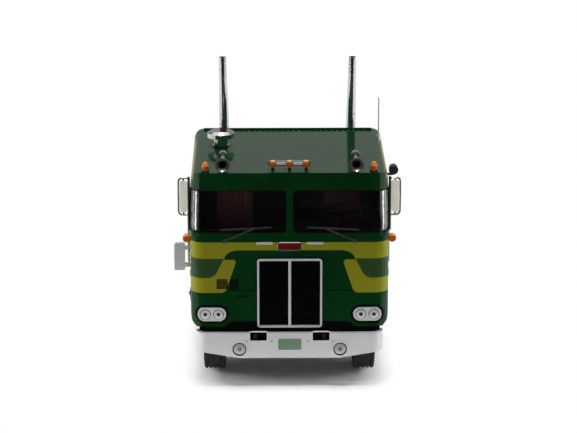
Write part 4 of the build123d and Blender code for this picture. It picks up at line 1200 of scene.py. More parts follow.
@dataclass
class Cab:
    """Cab shell with its glazing, trim and inside; lengths run back from the bumper's face."""

    frame: Frame
    post: float = 1.05
    screen: Span = (43.9, 55.6)
    screen_corner: float = 1.0
    wrap: float = 6.6
    glass_door: Span = (8.8, 22.6)
    bead: float = 0.18
    bead_out: float = 0.02
    emblem: Span = (3.4, 1.25)
    emblem_z: float = 39.9
    emblem_corner: float = 0.95
    emblem_rim: float = 0.3
    name_strip: Span = (4.7, 9.3)
    name_strip_z: Span = (40.5, 41.2)
    name_strip_out: float = 0.28
    shut_x: tuple[float, ...] = (9.9, 13.5, 17.2)
    shut_z: float = 27.2
    shut_bead: float = 0.14
    slit_x: Span = (-14.6, -11.6)
    slit_z: Span = (25.2, 25.6)
    slit_out: float = 0.12
    grille_half: float = 9.15
    grille_z: Span = (16.4, 36.55)
    grille_corner: float = 1.0
    grille_bead: float = 0.17
    hatches: tuple[Span, ...] = ((-20.2, -17.2), (-16.5, -14.2))
    hatch_z: Span = (27.6, 30.5)
    hatch_bars: int = 8
    hatch_bar: Span = (0.2, 0.64)  # start and height of a bar, as shares of the pitch
    hatch_edge: float = 0.2
    hatch_out: Span = (0.16, 0.2)  # of the bars, of the edges
    handle_y: Span = (21.2, 23.6)
    handle_z: Span = (37.6, 38.3)
    handle_out: float = 0.55
    lock: Span = (22.4, 36.4)  # place behind the bumper's face, height
    hinge_y: float = 7.6
    hinges: tuple[Span, ...] = ((30.6, 0.12), (40.2, 0.12), (52.0, 0.35))  # height, inset
    rivet: float = 0.24
    roof_rivets: tuple[float, float, int] = (2.9, 1.6, 14)  # distance from the back, pitch, count each way
    wall_rivets: tuple[float, float, float, int] = (3.6, 25.0, 1.8, 18)  # inset, lowest, pitch, count
    lip_inset: float = 3.0
    lip_back: float = 1.9
    lip_rise: float = 0.55
    lip_depth: float = 0.6
    skin: CabSkin = field(init=False)

    def __post_init__(self) -> None:
        """Take the skin from the shell."""
        self.skin = CabSkin(*self.frame.size("cab_shell"))

    def build(self) -> None:
        """Dress the shell and add its trim."""
        self.frame.dress(GREEN, "cab_shell")
        self.frame.dress(GLASS, "cab_glazing")
        self.frame.dress(TRIM, "cab_floor", "dashboard")
        self.frame.dress(RED, "seats")
        self.frame.dress(GASKET, "steering_wheel")
        self.gaskets()
        self.badges()
        self.panel_lines()
        self.vents()
        self.door_fittings()
        self.rivets()
        self.roof_lip()

    def gaskets(self) -> None:
        """Rubber beads round the windscreen panes and the door glass."""
        form, skin = Form(), self.skin
        pane = (self.post, skin.along(self.frame.front + self.wrap))
        door = tuple(skin.along(y) for y in self.frame.behind(*self.glass_door))
        for side in Side:
            for span in (pane, door):
                line = skin.loop(span, self.screen, self.screen_corner, self.bead_out)
                mirrored = [Vector((side.value * p.x, p.y, p.z)) for p in line]
                form.tube(mirrored, self.bead, closed=True, sides=8)
        form.done("window_gaskets", GASKET)

    def badges(self) -> None:
        """Bare badge plate and two bare trim strips over the grille."""
        (half, rise), corner, rim = self.emblem, self.emblem_corner, self.emblem_rim
        y = self.skin.low.y
        foot = (0, y, self.emblem_z)
        form = Form()
        form.plaque((half, rise), corner, foot, thick=0.26, bevel=0.12)
        form.done("badge_rim", CHROME)
        form = Form()
        form.plaque((half - rim, rise - rim), corner - rim, foot, thick=0.36, bevel=0.10)
        form.done("badge_face", ENAMEL_RED)
        form = Form()
        depth = (y - self.name_strip_out, y + SUNK)
        for side in Side:
            form.slab(side.span(*self.name_strip), depth, self.name_strip_z, bevel=0.12)
        form.done("trim_strips", PALE_METAL)

    def panel_lines(self) -> None:
        """Shut lines of the front panel as fine dark beads, a dark slit, and a fine dark bead round the grille frame.
        """
        form, y = Form(), self.skin.low.y
        for side in Side:
            line = [Vector((side.value * x, y, self.shut_z)) for x in self.shut_x]
            form.tube(line, self.shut_bead, sides=6)
        form.slab(self.slit_x, (y - self.slit_out, y + SUNK), self.slit_z, bevel=0.05)
        ring = self.skin.loop((-self.grille_half, self.grille_half), self.grille_z, self.grille_corner, 0.0)
        form.tube(ring, self.grille_bead, closed=True, sides=8)
        form.done("front_shut_lines", GASKET)

    def vents(self) -> None:
        """Two small barred vents on the right of the front."""
        form, y = Form(), self.skin.low.y
        low, high = self.hatch_z
        pitch, (start, height) = (high - low) / self.hatch_bars, self.hatch_bar
        bar, edge = ((y - out, y + SUNK) for out in self.hatch_out)
        for left, right in self.hatches:
            for i in range(self.hatch_bars):
                z = low + pitch * (i + start)
                form.slab((left, right), bar, (z, z + height * pitch), bevel=0.03, steps=1)
            for x in (left, right - self.hatch_edge):
                form.slab((x, x + self.hatch_edge), edge, self.hatch_z, bevel=0.04, steps=1)
        form.done("front_vents", GASKET)

    def door_fittings(self) -> None:
        """Handles, locks and hinges of the doors."""
        handles, hinges = Form(), Form()
        x, (lock_y, lock_z) = self.skin.high.x, self.lock
        lock = [(0, -SUNK), (0.42, -SUNK), (0.42, 0.35), (0.3, 0.45), (0, 0.45)]
        pin = [(0, -0.9), (0.34, -0.9), (0.34, 0.9), (0, 0.9)]
        for side in Side:
            s = side.value
            across = side.span(x - SUNK, x + self.handle_out)
            handles.slab(across, self.frame.behind(*self.handle_y), self.handle_z, bevel=0.22)
            handles.lathe(lock, (s * x, self.frame.front + lock_y, lock_z), Axis.X, 20, way=s)
            for z, inset in self.hinges:
                hinges.lathe(pin, (s * (x - inset), self.frame.front + self.hinge_y, z), Axis.Z, 14)
        handles.done("door_handles", CHROME)
        hinges.done("door_hinges", GREEN)

    def rivets(self) -> None:
        """Rows of rivets along the roof's back edge and up the back wall."""
        form, top = Form(), self.skin.high
        back, pitch, count = self.roof_rivets
        for i in range(-count, count + 1):
            form.stud((pitch * i, top.y - back, top.z), Axis.Z, self.rivet)
        inset, lowest, pitch, count = self.wall_rivets
        for side in Side:
            for i in range(count):
                form.stud((side.value * (top.x - inset), top.y, lowest + pitch * i), Axis.Y, self.rivet)
        form.done("cab_rivets", GREEN)

    def roof_lip(self) -> None:
        """Low lip along the roof's back edge."""
        form, top = Form(), self.skin.high
        half, y = top.x - self.lip_inset, top.y - self.lip_back
        form.slab((-half, half), (y, y + self.lip_depth), (top.z - SUNK, top.z + self.lip_rise), bevel=0.1)
        form.done("roof_lip", GREEN)


@dataclass
class Nose:
    """Grille, headlamps and bumper; depths run back from the bumper's face."""

    frame: Frame
    lens: float = 1.5
    lens_pitch: float = 3.65
    ring_back: float = 0.15
    plate_half: float = 3.2
    plate_z: Span = (10.5, 13.7)
    plate_corner: float = 0.25
    bolts: tuple[float, ...] = (5.1, 11.9)
    bolt_z: float = 13.0
    # black panels that stand for the shade under the nose, painted shade
    shade_panel_half: float = 9.2
    shade_panel_end: float = 24.4
    shade_panel_low: float = 12.6
    shade_panel_high: float = 16.4
    shade_panel_crest: float = 18.35
    shade_panel_corner: Span = (25.1, 14.0)  # outer end, lowest height
    shade_panel_lap: float = 0.2
    shade_panel_depth: Span = (2.4, 2.8)
    bezel: Span = (7.9, 3.9)
    # reach of the black sheet beyond the bezel, painted shade in the pocket
    pocket_margin: float = 0.68
    pocket_depth: float = 0.8
    slot_x: Span = (6.3, 11.1)
    slot_z: Span = (13.1, 15.1)
    # slot_depth to slot_rise place black sheets on the slots' walls, back and upper face, as painted shade
    slot_depth: Span = (0.12, 1.4)
    slot_back: Span = (1.25, 1.45)
    slot_margin: float = 0.2
    slot_face: Span = (-0.04, 0.5)
    slot_rise: float = 0.55
    slot_rim: float = 0.2
    slot_corner: float = 0.5
    lining: Span = (0.02, 0.05)  # of the painted shade sheets: reach into the wall, reach out of it

    def build(self) -> None:
        """Dress the nose and add its small pieces."""
        self.frame.dress(MESH, "grille_louvres")
        self.frame.dress(SILVER, "front_bumper", "headlamp_bezels", "grille_frame")
        self.frame.dress(LAMP, "headlamp_lenses")
        self.lamp_centres()
        self.fog_lamps()
        self.number_plate()
        self.painted_nose_shade()
        self.painted_pocket_shade()
        self.tow_slot_shade()

    def lamp_centres(self) -> None:
        """Dark bulb shields and bright rings of the headlamps."""
        shields, rings = Form(), Form()
        low, high = self.frame.size("headlamp_lenses")
        y, z, outer = low.y, (low.z + high.z) / 2, high.x - self.lens
        dome = [(0, SUNK), (0.54, SUNK), (0.54, -0.02), (0.36, -0.16), (0, -0.22)]
        rim = [(1.52, 0.5), (1.52, -0.02), (1.36, -0.06), (1.28, 0.02), (1.28, 0.5)]
        for side in Side:
            for x in (outer - self.lens_pitch, outer):
                shields.lathe(dome, (side.value * x, y, z), Axis.Y, 20)
                rings.lathe(rim, (side.value * x, y + self.ring_back, z), Axis.Y, 40)
        shields.done("bulb_shields", BLACK)
        rings.done("lamp_rings", CHROME)

    def fog_lamps(self) -> None:
        """Bumper lamps: a silver flange, a dark gap, a lens and its shield."""
        low, high = self.frame.size("bumper_lamps")
        y, z, rim = low.y, (low.z + high.z) / 2, (high.z - low.z) / 2
        flange = [(0, 1.6), (rim * 0.8, 1.6), (rim * 0.8, 0.5), (rim, 0.5), (rim, 0.14), (rim - 0.16, 0.0),
                  (rim - 0.42, 0.0), (rim - 0.52, 0.16), (rim - 0.52, 0.4), (0, 0.4)]
        lens = [(rim - 0.76, 0.42), (rim - 0.80, 0.26), (rim - 1.1, 0.12), (0.5, 0.05), (0, 0.05)]
        shield = [(0.52, 0.2), (0.52, 0.04), (0.40, 0.0), (0.24, 0.03), (0.16, 0.1), (0, 0.1)]
        flanges, gaps, lenses, shields = Form(), Form(), Form(), Form()
        for side in Side:
            spot = (side.value * (high.x - rim), y, z)
            flanges.lathe(flange, spot, Axis.Y, 56)
            gaps.collar(rim - 0.74, rim - 0.46, (0.12, 0.5), spot, Axis.Y)
            lenses.lathe(lens, spot, Axis.Y)
            shields.lathe(shield, spot, Axis.Y, 28)
        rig.replaces(flanges.done("fog_flanges", SILVER), "bumper_lamps")
        gaps.done("fog_gaps", GASKET)
        lenses.done("fog_lenses", FOG)
        shields.done("fog_shields", DULL)

    def number_plate(self) -> None:
        """Blank plate on the bumper, and the bumper's bolts."""
        (low, high), y = self.plate_z, self.frame.front
        form = Form()
        half = (self.plate_half, (high - low) / 2)
        form.plaque(half, self.plate_corner, (0, y, (low + high) / 2), thick=0.2, bevel=0.06)
        form.done("blank_plate", PLATE)
        form = Form()
        head = [(0.28, SUNK), (0.28, -0.06), (0.18, -0.16), (0, -0.18)]
        for side in Side:
            for x in self.bolts:
                form.lathe(head, (side.value * x, y, self.bolt_z), Axis.Y, 14)
        form.done("bumper_bolts", CHROME)

    def painted_nose_shade(self) -> None:
        """Black panels behind the bumper, as painted shade under the nose."""
        form, half, y = Form(), self.shade_panel_half, self.frame.behind(*self.shade_panel_depth)
        start, (end, foot) = self.shade_panel_end - self.shade_panel_lap, self.shade_panel_corner
        for side in Side:
            form.slab(side.span(half, self.shade_panel_end), y, (self.shade_panel_low, self.shade_panel_crest), bevel=0.05)
            form.slab(side.span(start, end), y, (foot, self.shade_panel_crest), bevel=0.05)
        form.slab((-half, half), y, (self.shade_panel_low, self.shade_panel_high), bevel=0.05)
        form.done("nose_shade_panels", GASKET)

    def painted_pocket_shade(self) -> None:
        """Black sheets on the floors of the pockets round the headlamp bezels, as painted shade."""
        form = Form()
        y = self.frame.size("cab_shell")[0].y + self.pocket_depth
        low, high = self.frame.size("headlamp_bezels")
        half = tuple(length / 2 + self.pocket_margin for length in self.bezel)
        for side in Side:
            spot = (side.value * (high.x - self.bezel[0] / 2), y, (low.z + high.z) / 2)
            form.plaque(half, half[1] - 0.01, spot, thick=0.06, bevel=0.02)
        form.done("painted_pocket_shade", GASKET)

    def tow_slot_shade(self) -> None:
        """Black sheets in the bumper's tow slots as painted shade, and the slots' silver rims."""
        slot_shade_sheets, rims = Form(), Form()
        (inner, outer), (low, high), (sunk, thick) = self.slot_x, self.slot_z, self.lining
        margin, rim = self.slot_margin, self.slot_rim
        walls = (
            ((inner, outer), self.slot_depth, (low - sunk, low + thick)),
            ((inner, outer), self.slot_depth, (high - thick, high + sunk)),
            ((inner - sunk, inner + thick), self.slot_depth, (low, high)),
            ((outer - thick, outer + sunk), self.slot_depth, (low, high)),
            ((inner - margin, outer + margin), self.slot_back, (low - margin, high + margin)),
            ((inner, outer), self.slot_face, (high - SUNK, high + self.slot_rise)),
        )
        rise = (low - rim / 2, high + self.slot_rise + rim / 2)
        for side in Side:
            for x, depth, z in walls:
                slot_shade_sheets.slab(side.span(*x), self.frame.behind(*depth), z)
            line = rounded(side.span(inner - rim / 2, outer + rim / 2), rise, self.slot_corner)
            rims.tube([Vector((x, self.frame.front + SUNK, z)) for x, z in line], rim, closed=True)
        slot_shade_sheets.done("tow_slot_shade", GASKET)
        rims.done("slot_rims", SILVER)


@dataclass
class RoofAndSides:
    """Fittings on the roof and beside the cab."""

    frame: Frame
    bell: float = 2.0
    marker: float = 0.95
    bar_lamp: float = 0.9
    bar_pitch: float = 4.6
    bar_rise: float = 0.7
    bar_painted_highlight: Span = (1.1, 0.2)  # of the silver band painted as a highlight: drop of its lower and upper edge from the bar's top
    bar_highlight_inset: float = 0.4
    bar_highlight_out: float = 0.16
    mirror_x: Span = (28.66, 30.08)
    mirror_z: Span = (47.95, 56.25)
    mirror_back: float = 10.5
    low_mirror: Span = (3.0, 1.3)  # width, depth
    glass_margin: float = 0.3
    glass_out: float = 0.07
    spot: Point = (28.9, 11.0, 59.2)
    spot_radius: float = 1.2

    def build(self) -> None:
        """Dress the fittings and add their small pieces."""
        self.frame.dress(CHROME, "roof_intake", "grab_rails", "marker_bar")
        self.frame.dress(POLISHED, "air_horns")
        self.frame.dress(DULL, "wipers")
        self.frame.dress(BLACK, "spot_lamp")
        self.frame.dress(WARM_SHELL, "mirrors")
        self.frame.dress(PALE_METAL, "aerial", "lower_mirror")
        self.frame.dress(AMBER, "marker_lamps", "turn_signals")
        self.painted_horn_shade()
        self.lamp_trim()
        self.mirror_glass()

    def painted_horn_shade(self) -> None:
        """Dark cones in the trumpets' throats, as painted shade."""
        form = Form()
        low, high = self.frame.size("air_horns")
        throat = [(0, 2.42), (0.80, 0.98), (0.98, 0.80), (1.03, 0.86), (0.84, 1.06), (0, 2.52)]
        for side in Side:
            form.lathe(throat, (side.value * (high.x - self.bell), low.y, high.z - self.bell), Axis.Y, 32)
        form.done("painted_horn_shade", GASKET)

    def lamp_trim(self) -> None:
        """The bar's silver band as a painted highlight, its rims and domes, and the seats of the corner lamps and the
        spot lamp.
        """
        strip, seats, rims, domes = Form(), Form(), Form(), Form()
        low, high = self.frame.size("marker_bar")
        y, inset = low.y, self.bar_highlight_inset
        rise = tuple(high.z - drop for drop in self.bar_painted_highlight)
        # silver band on the bar's upper front, a painted highlight for the bright reflection along its top
        strip.slab((low.x + inset, high.x - inset), (y - self.bar_highlight_out, y + SUNK), rise, bevel=0.12)
        r = self.bar_lamp
        dome = [(0, -0.8), (r - 0.02, -0.8), (r - 0.06, -0.98), (0.55 * r, -1.16), (0, -1.24)]
        for i in (-1, 0, 1):
            lamp = (i * self.bar_pitch, y, high.z - self.bar_rise)
            rims.collar(r - SUNK, r + 0.15, (-0.35, SUNK), lamp, Axis.Y, 32)
            domes.lathe(dome, lamp, Axis.Y, 28)
        low, high = self.frame.size("marker_lamps")
        r = self.marker
        for side in Side:
            lamp = (side.value * (high.x - r), low.y + r, low.z)
            seats.collar(r - SUNK, r + 0.2, (-SUNK, 0.55), lamp, Axis.Z, 28)
        r, (x, back, z) = self.spot_radius, self.spot
        seats.collar(r - 0.2, r + 0.12, (-0.14, 0.4), (x, self.frame.front + back, z), Axis.Y, 36)
        strip.done("bar_painted_highlight", SILVER)
        seats.done("lamp_seats", BLACK)
        rims.done("bar_lamp_rims", CHROME)
        domes.done("bar_lamp_domes", AMBER)

    def mirror_glass(self) -> None:
        """Mirror glass on the back of each mirror."""
        form = Form()
        back, out, margin = self.mirror_back, self.glass_out, self.glass_margin
        y = self.frame.behind(back - SUNK, back + out)
        for side in Side:
            form.slab(side.span(*self.mirror_x), y, self.mirror_z, bevel=0.05)
        low, high = self.frame.size("lower_mirror")
        width, depth = self.low_mirror
        x = (low.x + margin, low.x + width - margin)
        y = (low.y + depth - SUNK, low.y + depth + out)
        form.slab(x, y, (low.z + margin, high.z - margin), bevel=0.05)
        form.done("mirror_glass", MIRROR)


@dataclass
class Chassis:
    """Frame ladder, drive line, tanks and deck; lengths run back from the bumper's face."""

    frame: Frame
    tank: float = 7.0
    seam_y: Span = (2.4, 5.4)  # distances from the tank's front and back end
    seam: Span = (-0.3, 0.3)
    straps: tuple[float, ...] = (41.0, 65.0)
    strap_out: float = 0.35
    filler_y: float = 69.0
    filler: float = 1.3
    filler_grip: Span = (1.0, 0.18)  # half length, half width
    air_tank: tuple[float, float, float] = (5.4, 18.1, 2.6)  # distance from the centre line, height, radius
    air_seams: tuple[float, ...] = (67.0, 73.0)
    muffler: tuple[float, float, float] = (18.5, 57.6, 2.8)  # distance from the centre line, place, radius
    clamps: tuple[float, ...] = (25.6, 37.2, 49.0)
    mouth: Span = (19.0, 0.75)  # distance from the centre line, radius of the bore
    mouth_z: Span = (77.05, 80.8)
    rail: float = 10.0
    rail_rows: tuple[float, ...] = (16.7, 20.1)
    rail_bolts: tuple[int, int, int] = (27, 140, 4)  # first place, end, pitch
    strap_room: float = 1.5
    pivot: Span = (106.0, 22.8)  # place, height
    handle: tuple[Point, ...] = ((9.6, 0.0, 0.0), (12.6, 0.0, 0.0), (13.2, -0.6, 0.0), (13.2, -2.2, 0.0))
    handle_step: Span = (-5.0, 1.9)  # from the pivot, along and up
    bar_pitch: float = 1.5
    bar_half: float = 0.42
    bar: float = 0.16
    flap: Span = (15.2, 27.6)
    flap_y: float = 139.3
    flap_inset: float = 0.5
    flap_low: Span = (0.5, 1.7)
    flap_high: Span = (2.6, 1.6)
    flap_out: Span = (0.16, 0.12)  # of the strips, of the bolts' feet
    flap_bolts: int = 5
    flap_bolt_inset: float = 1.0

    def build(self) -> None:
        """Dress the chassis and add its small pieces."""
        self.frame.dress(FRAME_BLACK, "frame_rail_left", "frame_rail_right", "cross_members", "tail_member",
                         "front_axle_beam", "front_springs", "drive_axle_housings", "rear_springs",
                         "tank_brackets", "exhaust_shelf", "fifth_wheel_base")
        self.frame.dress(CAST, "engine_block", "drive_shafts", "fifth_wheel")
        self.frame.dress(CHROME, "exhaust_left", "exhaust_right")
        self.frame.dress(POLISHED, "fuel_tank_left", "fuel_tank_right", "air_tanks")
        self.frame.dress(DECK, "deck_plate")
        self.frame.dress(RUBBER, "mud_flaps")
        self.frame.dress(RED_LENS, "tail_lamps")
        self.tank_fittings()
        self.exhaust_fittings()
        self.frame_fittings()
        self.deck_bars()
        self.tail_fittings()

    def tank_fittings(self) -> None:
        """Rolled seams, strap bolts and filler caps of the tanks."""
        seams, bolts = Form(), Form()
        front, (low, high) = self.frame.front, self.frame.size("fuel_tank_left")
        r, middle, z = self.tank, abs(low.x + high.x) / 2, low.z + self.tank
        cap, (grip, half) = self.filler, self.filler_grip
        air_x, air_z, air_r = self.air_tank
        filler_y = front + self.filler_y
        for side in Side:
            s = side.value
            x = s * middle
            for y in (low.y + self.seam_y[0], high.y - self.seam_y[1]):
                seams.collar(r - SUNK, r + 0.12, self.seam, (x, y, z), Axis.Y, 72)
            for place in self.straps:
                spot = (s * (middle + r + self.strap_out), front + place, z)
                bolts.nut(spot, Axis.X, s, radius=0.45, height=0.4)
            seams.collar(cap - 0.15, cap + 0.14, (-0.55, 0.02), (x, filler_y, high.z), Axis.Z, 24)
            across, along = (x - grip, x + grip), (filler_y - half, filler_y + half)
            seams.slab(across, along, (high.z - 0.05, high.z + 0.32), bevel=0.1)
            for place in self.air_seams:
                spot = (s * air_x, front + place, air_z)
                seams.collar(air_r - SUNK, air_r + 0.1, self.seam, spot, Axis.Y, 40)
        seams.done("tank_seams", STEEL)
        bolts.done("strap_bolts", CHROME)

    def exhaust_fittings(self) -> None:
        """Clamps of the mufflers and dark bores of the pipes."""
        clamps, bores = Form(), Form()
        middle, back, r = self.muffler
        (mouth, bore), (low, high) = self.mouth, self.mouth_z
        wall, lining, y = bore - 0.02, bore - 0.08, self.frame.front + back
        cup = [(0, low), (wall, low), (wall, high), (lining, high), (lining, low + 0.1), (0, low + 0.1)]
        for side in Side:
            x = side.value * middle
            for z in self.clamps:
                clamps.collar(r - SUNK, r + 0.16, (-0.4, 0.4), (x, y, z), Axis.Z)
                clamps.slab((x - 0.35, x + 0.35), (y + r, y + r + 0.5), (z - 0.3, z + 0.3), bevel=0.08)
            bores.lathe(cup, (side.value * mouth, y, 0), Axis.Z, 28)
        clamps.done("muffler_clamps", STEEL)
        bores.done("pipe_bores", GASKET)

    def frame_fittings(self) -> None:
        """Bolt heads along the rails, and the coupling's pivots and release handle."""
        bolts, handle = Form(), Form()
        front, (back, height) = self.frame.front, self.pivot
        places = [place for place in range(*self.rail_bolts)
                  if min(abs(place - strap) for strap in self.straps) > self.strap_room]
        boss = [(0, -0.2), (0.95, -0.2), (0.95, 0.4), (0.7, 0.6), (0, 0.6)]
        for side in Side:
            s = side.value
            for place in places:
                for z in self.rail_rows:
                    bolts.nut((s * self.rail, front + place, z), Axis.X, s, radius=0.34, height=0.26)
            bolts.lathe(boss, (s * self.rail, front + back, height), Axis.X, 28, way=s)
        start = Vector((0.0, front + back + self.handle_step[0], height + self.handle_step[1]))
        handle.tube([start + Vector(point) for point in self.handle], 0.28, sides=12)
        bolts.done("frame_bolts", FRAME_BLACK)
        handle.done("release_handle", STEEL)

    def deck_bars(self) -> None:
        """Raised bars of the walkway, set at turns to each other."""
        form, pitch, half = Form(), self.bar_pitch, self.bar_half
        low, high = self.frame.size("deck_plate")
        for i in range(1, round((high.x - low.x) / pitch)):
            for j in range(1, round((high.y - low.y) / pitch)):
                spot = Vector((low.x + i * pitch, low.y + j * pitch, high.z))
                step = Vector((half, half if (i + j) % 2 else -half, 0.0))
                form.tube([spot - step, spot + step], self.bar, sides=8)
        form.done("deck_bars", DECK)

    def tail_fittings(self) -> None:
        """Strips and bolts of the mud flaps, and rims of the tail lamps."""
        strips, bolts = Form(), Form()
        low, high = self.frame.size("mud_flaps")
        inner, outer = self.flap
        back = self.frame.front + self.flap_y
        strip_out, bolt_out = self.flap_out
        y, inset = (back - SUNK, back + strip_out), self.flap_bolt_inset
        foot = tuple(low.z + rise for rise in self.flap_low)
        head = tuple(high.z - drop for drop in self.flap_high)
        for side in Side:
            x = side.span(inner + self.flap_inset, outer - self.flap_inset)
            for z in (foot, head):
                strips.slab(x, y, z, bevel=0.08)
            for i in range(self.flap_bolts):
                place = x[0] + inset + (x[1] - x[0] - 2 * inset) * i / (self.flap_bolts - 1)
                bolts.nut((place, back + bolt_out, sum(head) / 2), Axis.Y, 1.0, radius=0.32, height=0.26)
        low, high = self.frame.size("tail_lamps")
        r = (high.z - low.z) / 2
        for side in Side:
            lamp = (side.value * (high.x - r), low.y, low.z + r)
            strips.collar(r - 0.12, r + 0.22, (0.4, 1.0), lamp, Axis.Y, 40)
        strips.done("tail_strips", CHROME)
        bolts.done("flap_bolts", STEEL)


@dataclass
class Tread:
    """Tyre with grooves and cross blocks."""

    width: float
    radius: float = 11.99
    rim: float = 6.75
    wall: tuple[Span, ...] = (  # rise over the rim, share of the half width
        (0.0, 0.72), (0.35, 0.80), (0.9, 0.93), (1.0, 0.96), (1.3, 0.97), (1.4, 0.95), (2.5, 0.97),
        (2.6, 1.0), (3.2, 1.0), (3.3, 0.97))
    shoulder: tuple[Span, ...] = ((1.0, 0.97), (0.35, 0.93), (0.06, 0.84))  # drop from the top, share
    grooves: int = 4
    groove: float = 0.42
    groove_slope: float = 0.06
    groove_start: float = 0.56  # share of the half width
    groove_reach: float = 1.1232
    depth: float = 0.34
    blocks: int = 48
    block_depth: float = 0.9  # share of the grooves' depth
    block_inner: float = 0.60  # share of the half width
    block_drop: float = 1.1
    steps: int = 192

    def profile(self) -> list[Span]:
        """Section from the inner bead over the tread to the outer bead.

        Returns:
            Radius and place across of each corner.
        """
        half, top, edge = self.width / 2, self.radius, self.groove / 2
        wall = [(self.rim + rise, -half * share) for rise, share in self.wall]
        wall += [(top - drop, -half * share) for drop, share in self.shoulder]
        crown: list[Span] = []
        for i in range(self.grooves):
            x = half * (self.groove_reach * i / (self.grooves - 1) - self.groove_start)
            for step, drop in ((-edge - self.groove_slope, 0.0), (-edge, self.depth), (edge, self.depth),
                               (edge + self.groove_slope, 0.0)):
                crown.append((top - drop, x + step))
        return wall + crown + [(radius, -x) for radius, x in reversed(wall)]

    def add(self, form: Form, centre: Point) -> None:
        """Add one tyre.

        Args:
            form: mesh in the making.
            centre: middle of the tyre.
        """
        rings = []
        for radius, x in self.profile():
            edge = self.width / 2 * self.block_inner < abs(x) and radius > self.radius - self.block_drop
            ring = []
            for i in range(self.steps):
                turn = math.tau * i / self.steps
                notch = (i * self.blocks // self.steps) != ((i + 1) * self.blocks // self.steps)
                r = radius - (self.depth * self.block_depth if notch and edge else 0.0)
                ring.append(Vector(centre) + Vector((x, r * math.cos(turn), r * math.sin(turn))))
            rings.append(form.ring(ring))
        form.bridge(rings, closed=True)


@dataclass
class WheelSet:
    """One axle with its wheels and tyres."""

    frame: Frame
    body: Body
    prefix: str
    places: tuple[float, ...]
    width: float
    nut_circle: float
    nut_face: float
    nuts: int = 10

    def build(self) -> None:
        """Dress the wheels, and add tyres and nuts."""
        self.frame.dress(POLISHED, f"{self.prefix}_wheels")
        self.frame.dress(STEEL, f"{self.prefix}_axle_pin")
        low, high = self.frame.size(f"{self.prefix}_tyres")
        y, z = (low.y + high.y) / 2, (low.z + high.z) / 2
        form, tread = Form(), Tread(self.width)
        for x in self.places:
            for side in Side:
                tread.add(form, (side.value * x, y, z))
        tyres = form.done(f"{self.prefix}_treaded_tyres", RUBBER, self.body, 30.0)
        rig.replaces(tyres, f"{self.prefix}_tyres")
        form, r = Form(), self.nut_circle
        for side in Side:
            for i in range(self.nuts):
                turn = math.tau * i / self.nuts
                spot = (side.value * self.nut_face, y + r * math.cos(turn), z + r * math.sin(turn))
                form.nut(spot, Axis.X, side.value, radius=0.36, height=0.42)
        form.done(f"{self.prefix}_wheel_nuts", CHROME, self.body)


@dataclass(frozen=True)
class SoftBox:
    """Area lamp, in millimetres and watts."""

    name: str
    spot: Point
    aim: Point
    size: Span
    watts: float
    mirrored: bool = False  # shows in glossy surfaces

    def build(self) -> None:
        """Hang the lamp and turn it to its aim."""
        light = bpy.data.lights.new(self.name, "AREA")
        light.shape = "RECTANGLE"
        light.size, light.size_y = (length * MM for length in self.size)
        light.energy = self.watts
        lamp = placed(self.name, light)
        lamp.location = mm(*self.spot)
        lamp.rotation_mode = "QUATERNION"
        lamp.rotation_quaternion = (mm(*self.aim) - mm(*self.spot)).to_track_quat("-Z", "Y")
        lamp.visible_glossy = self.mirrored


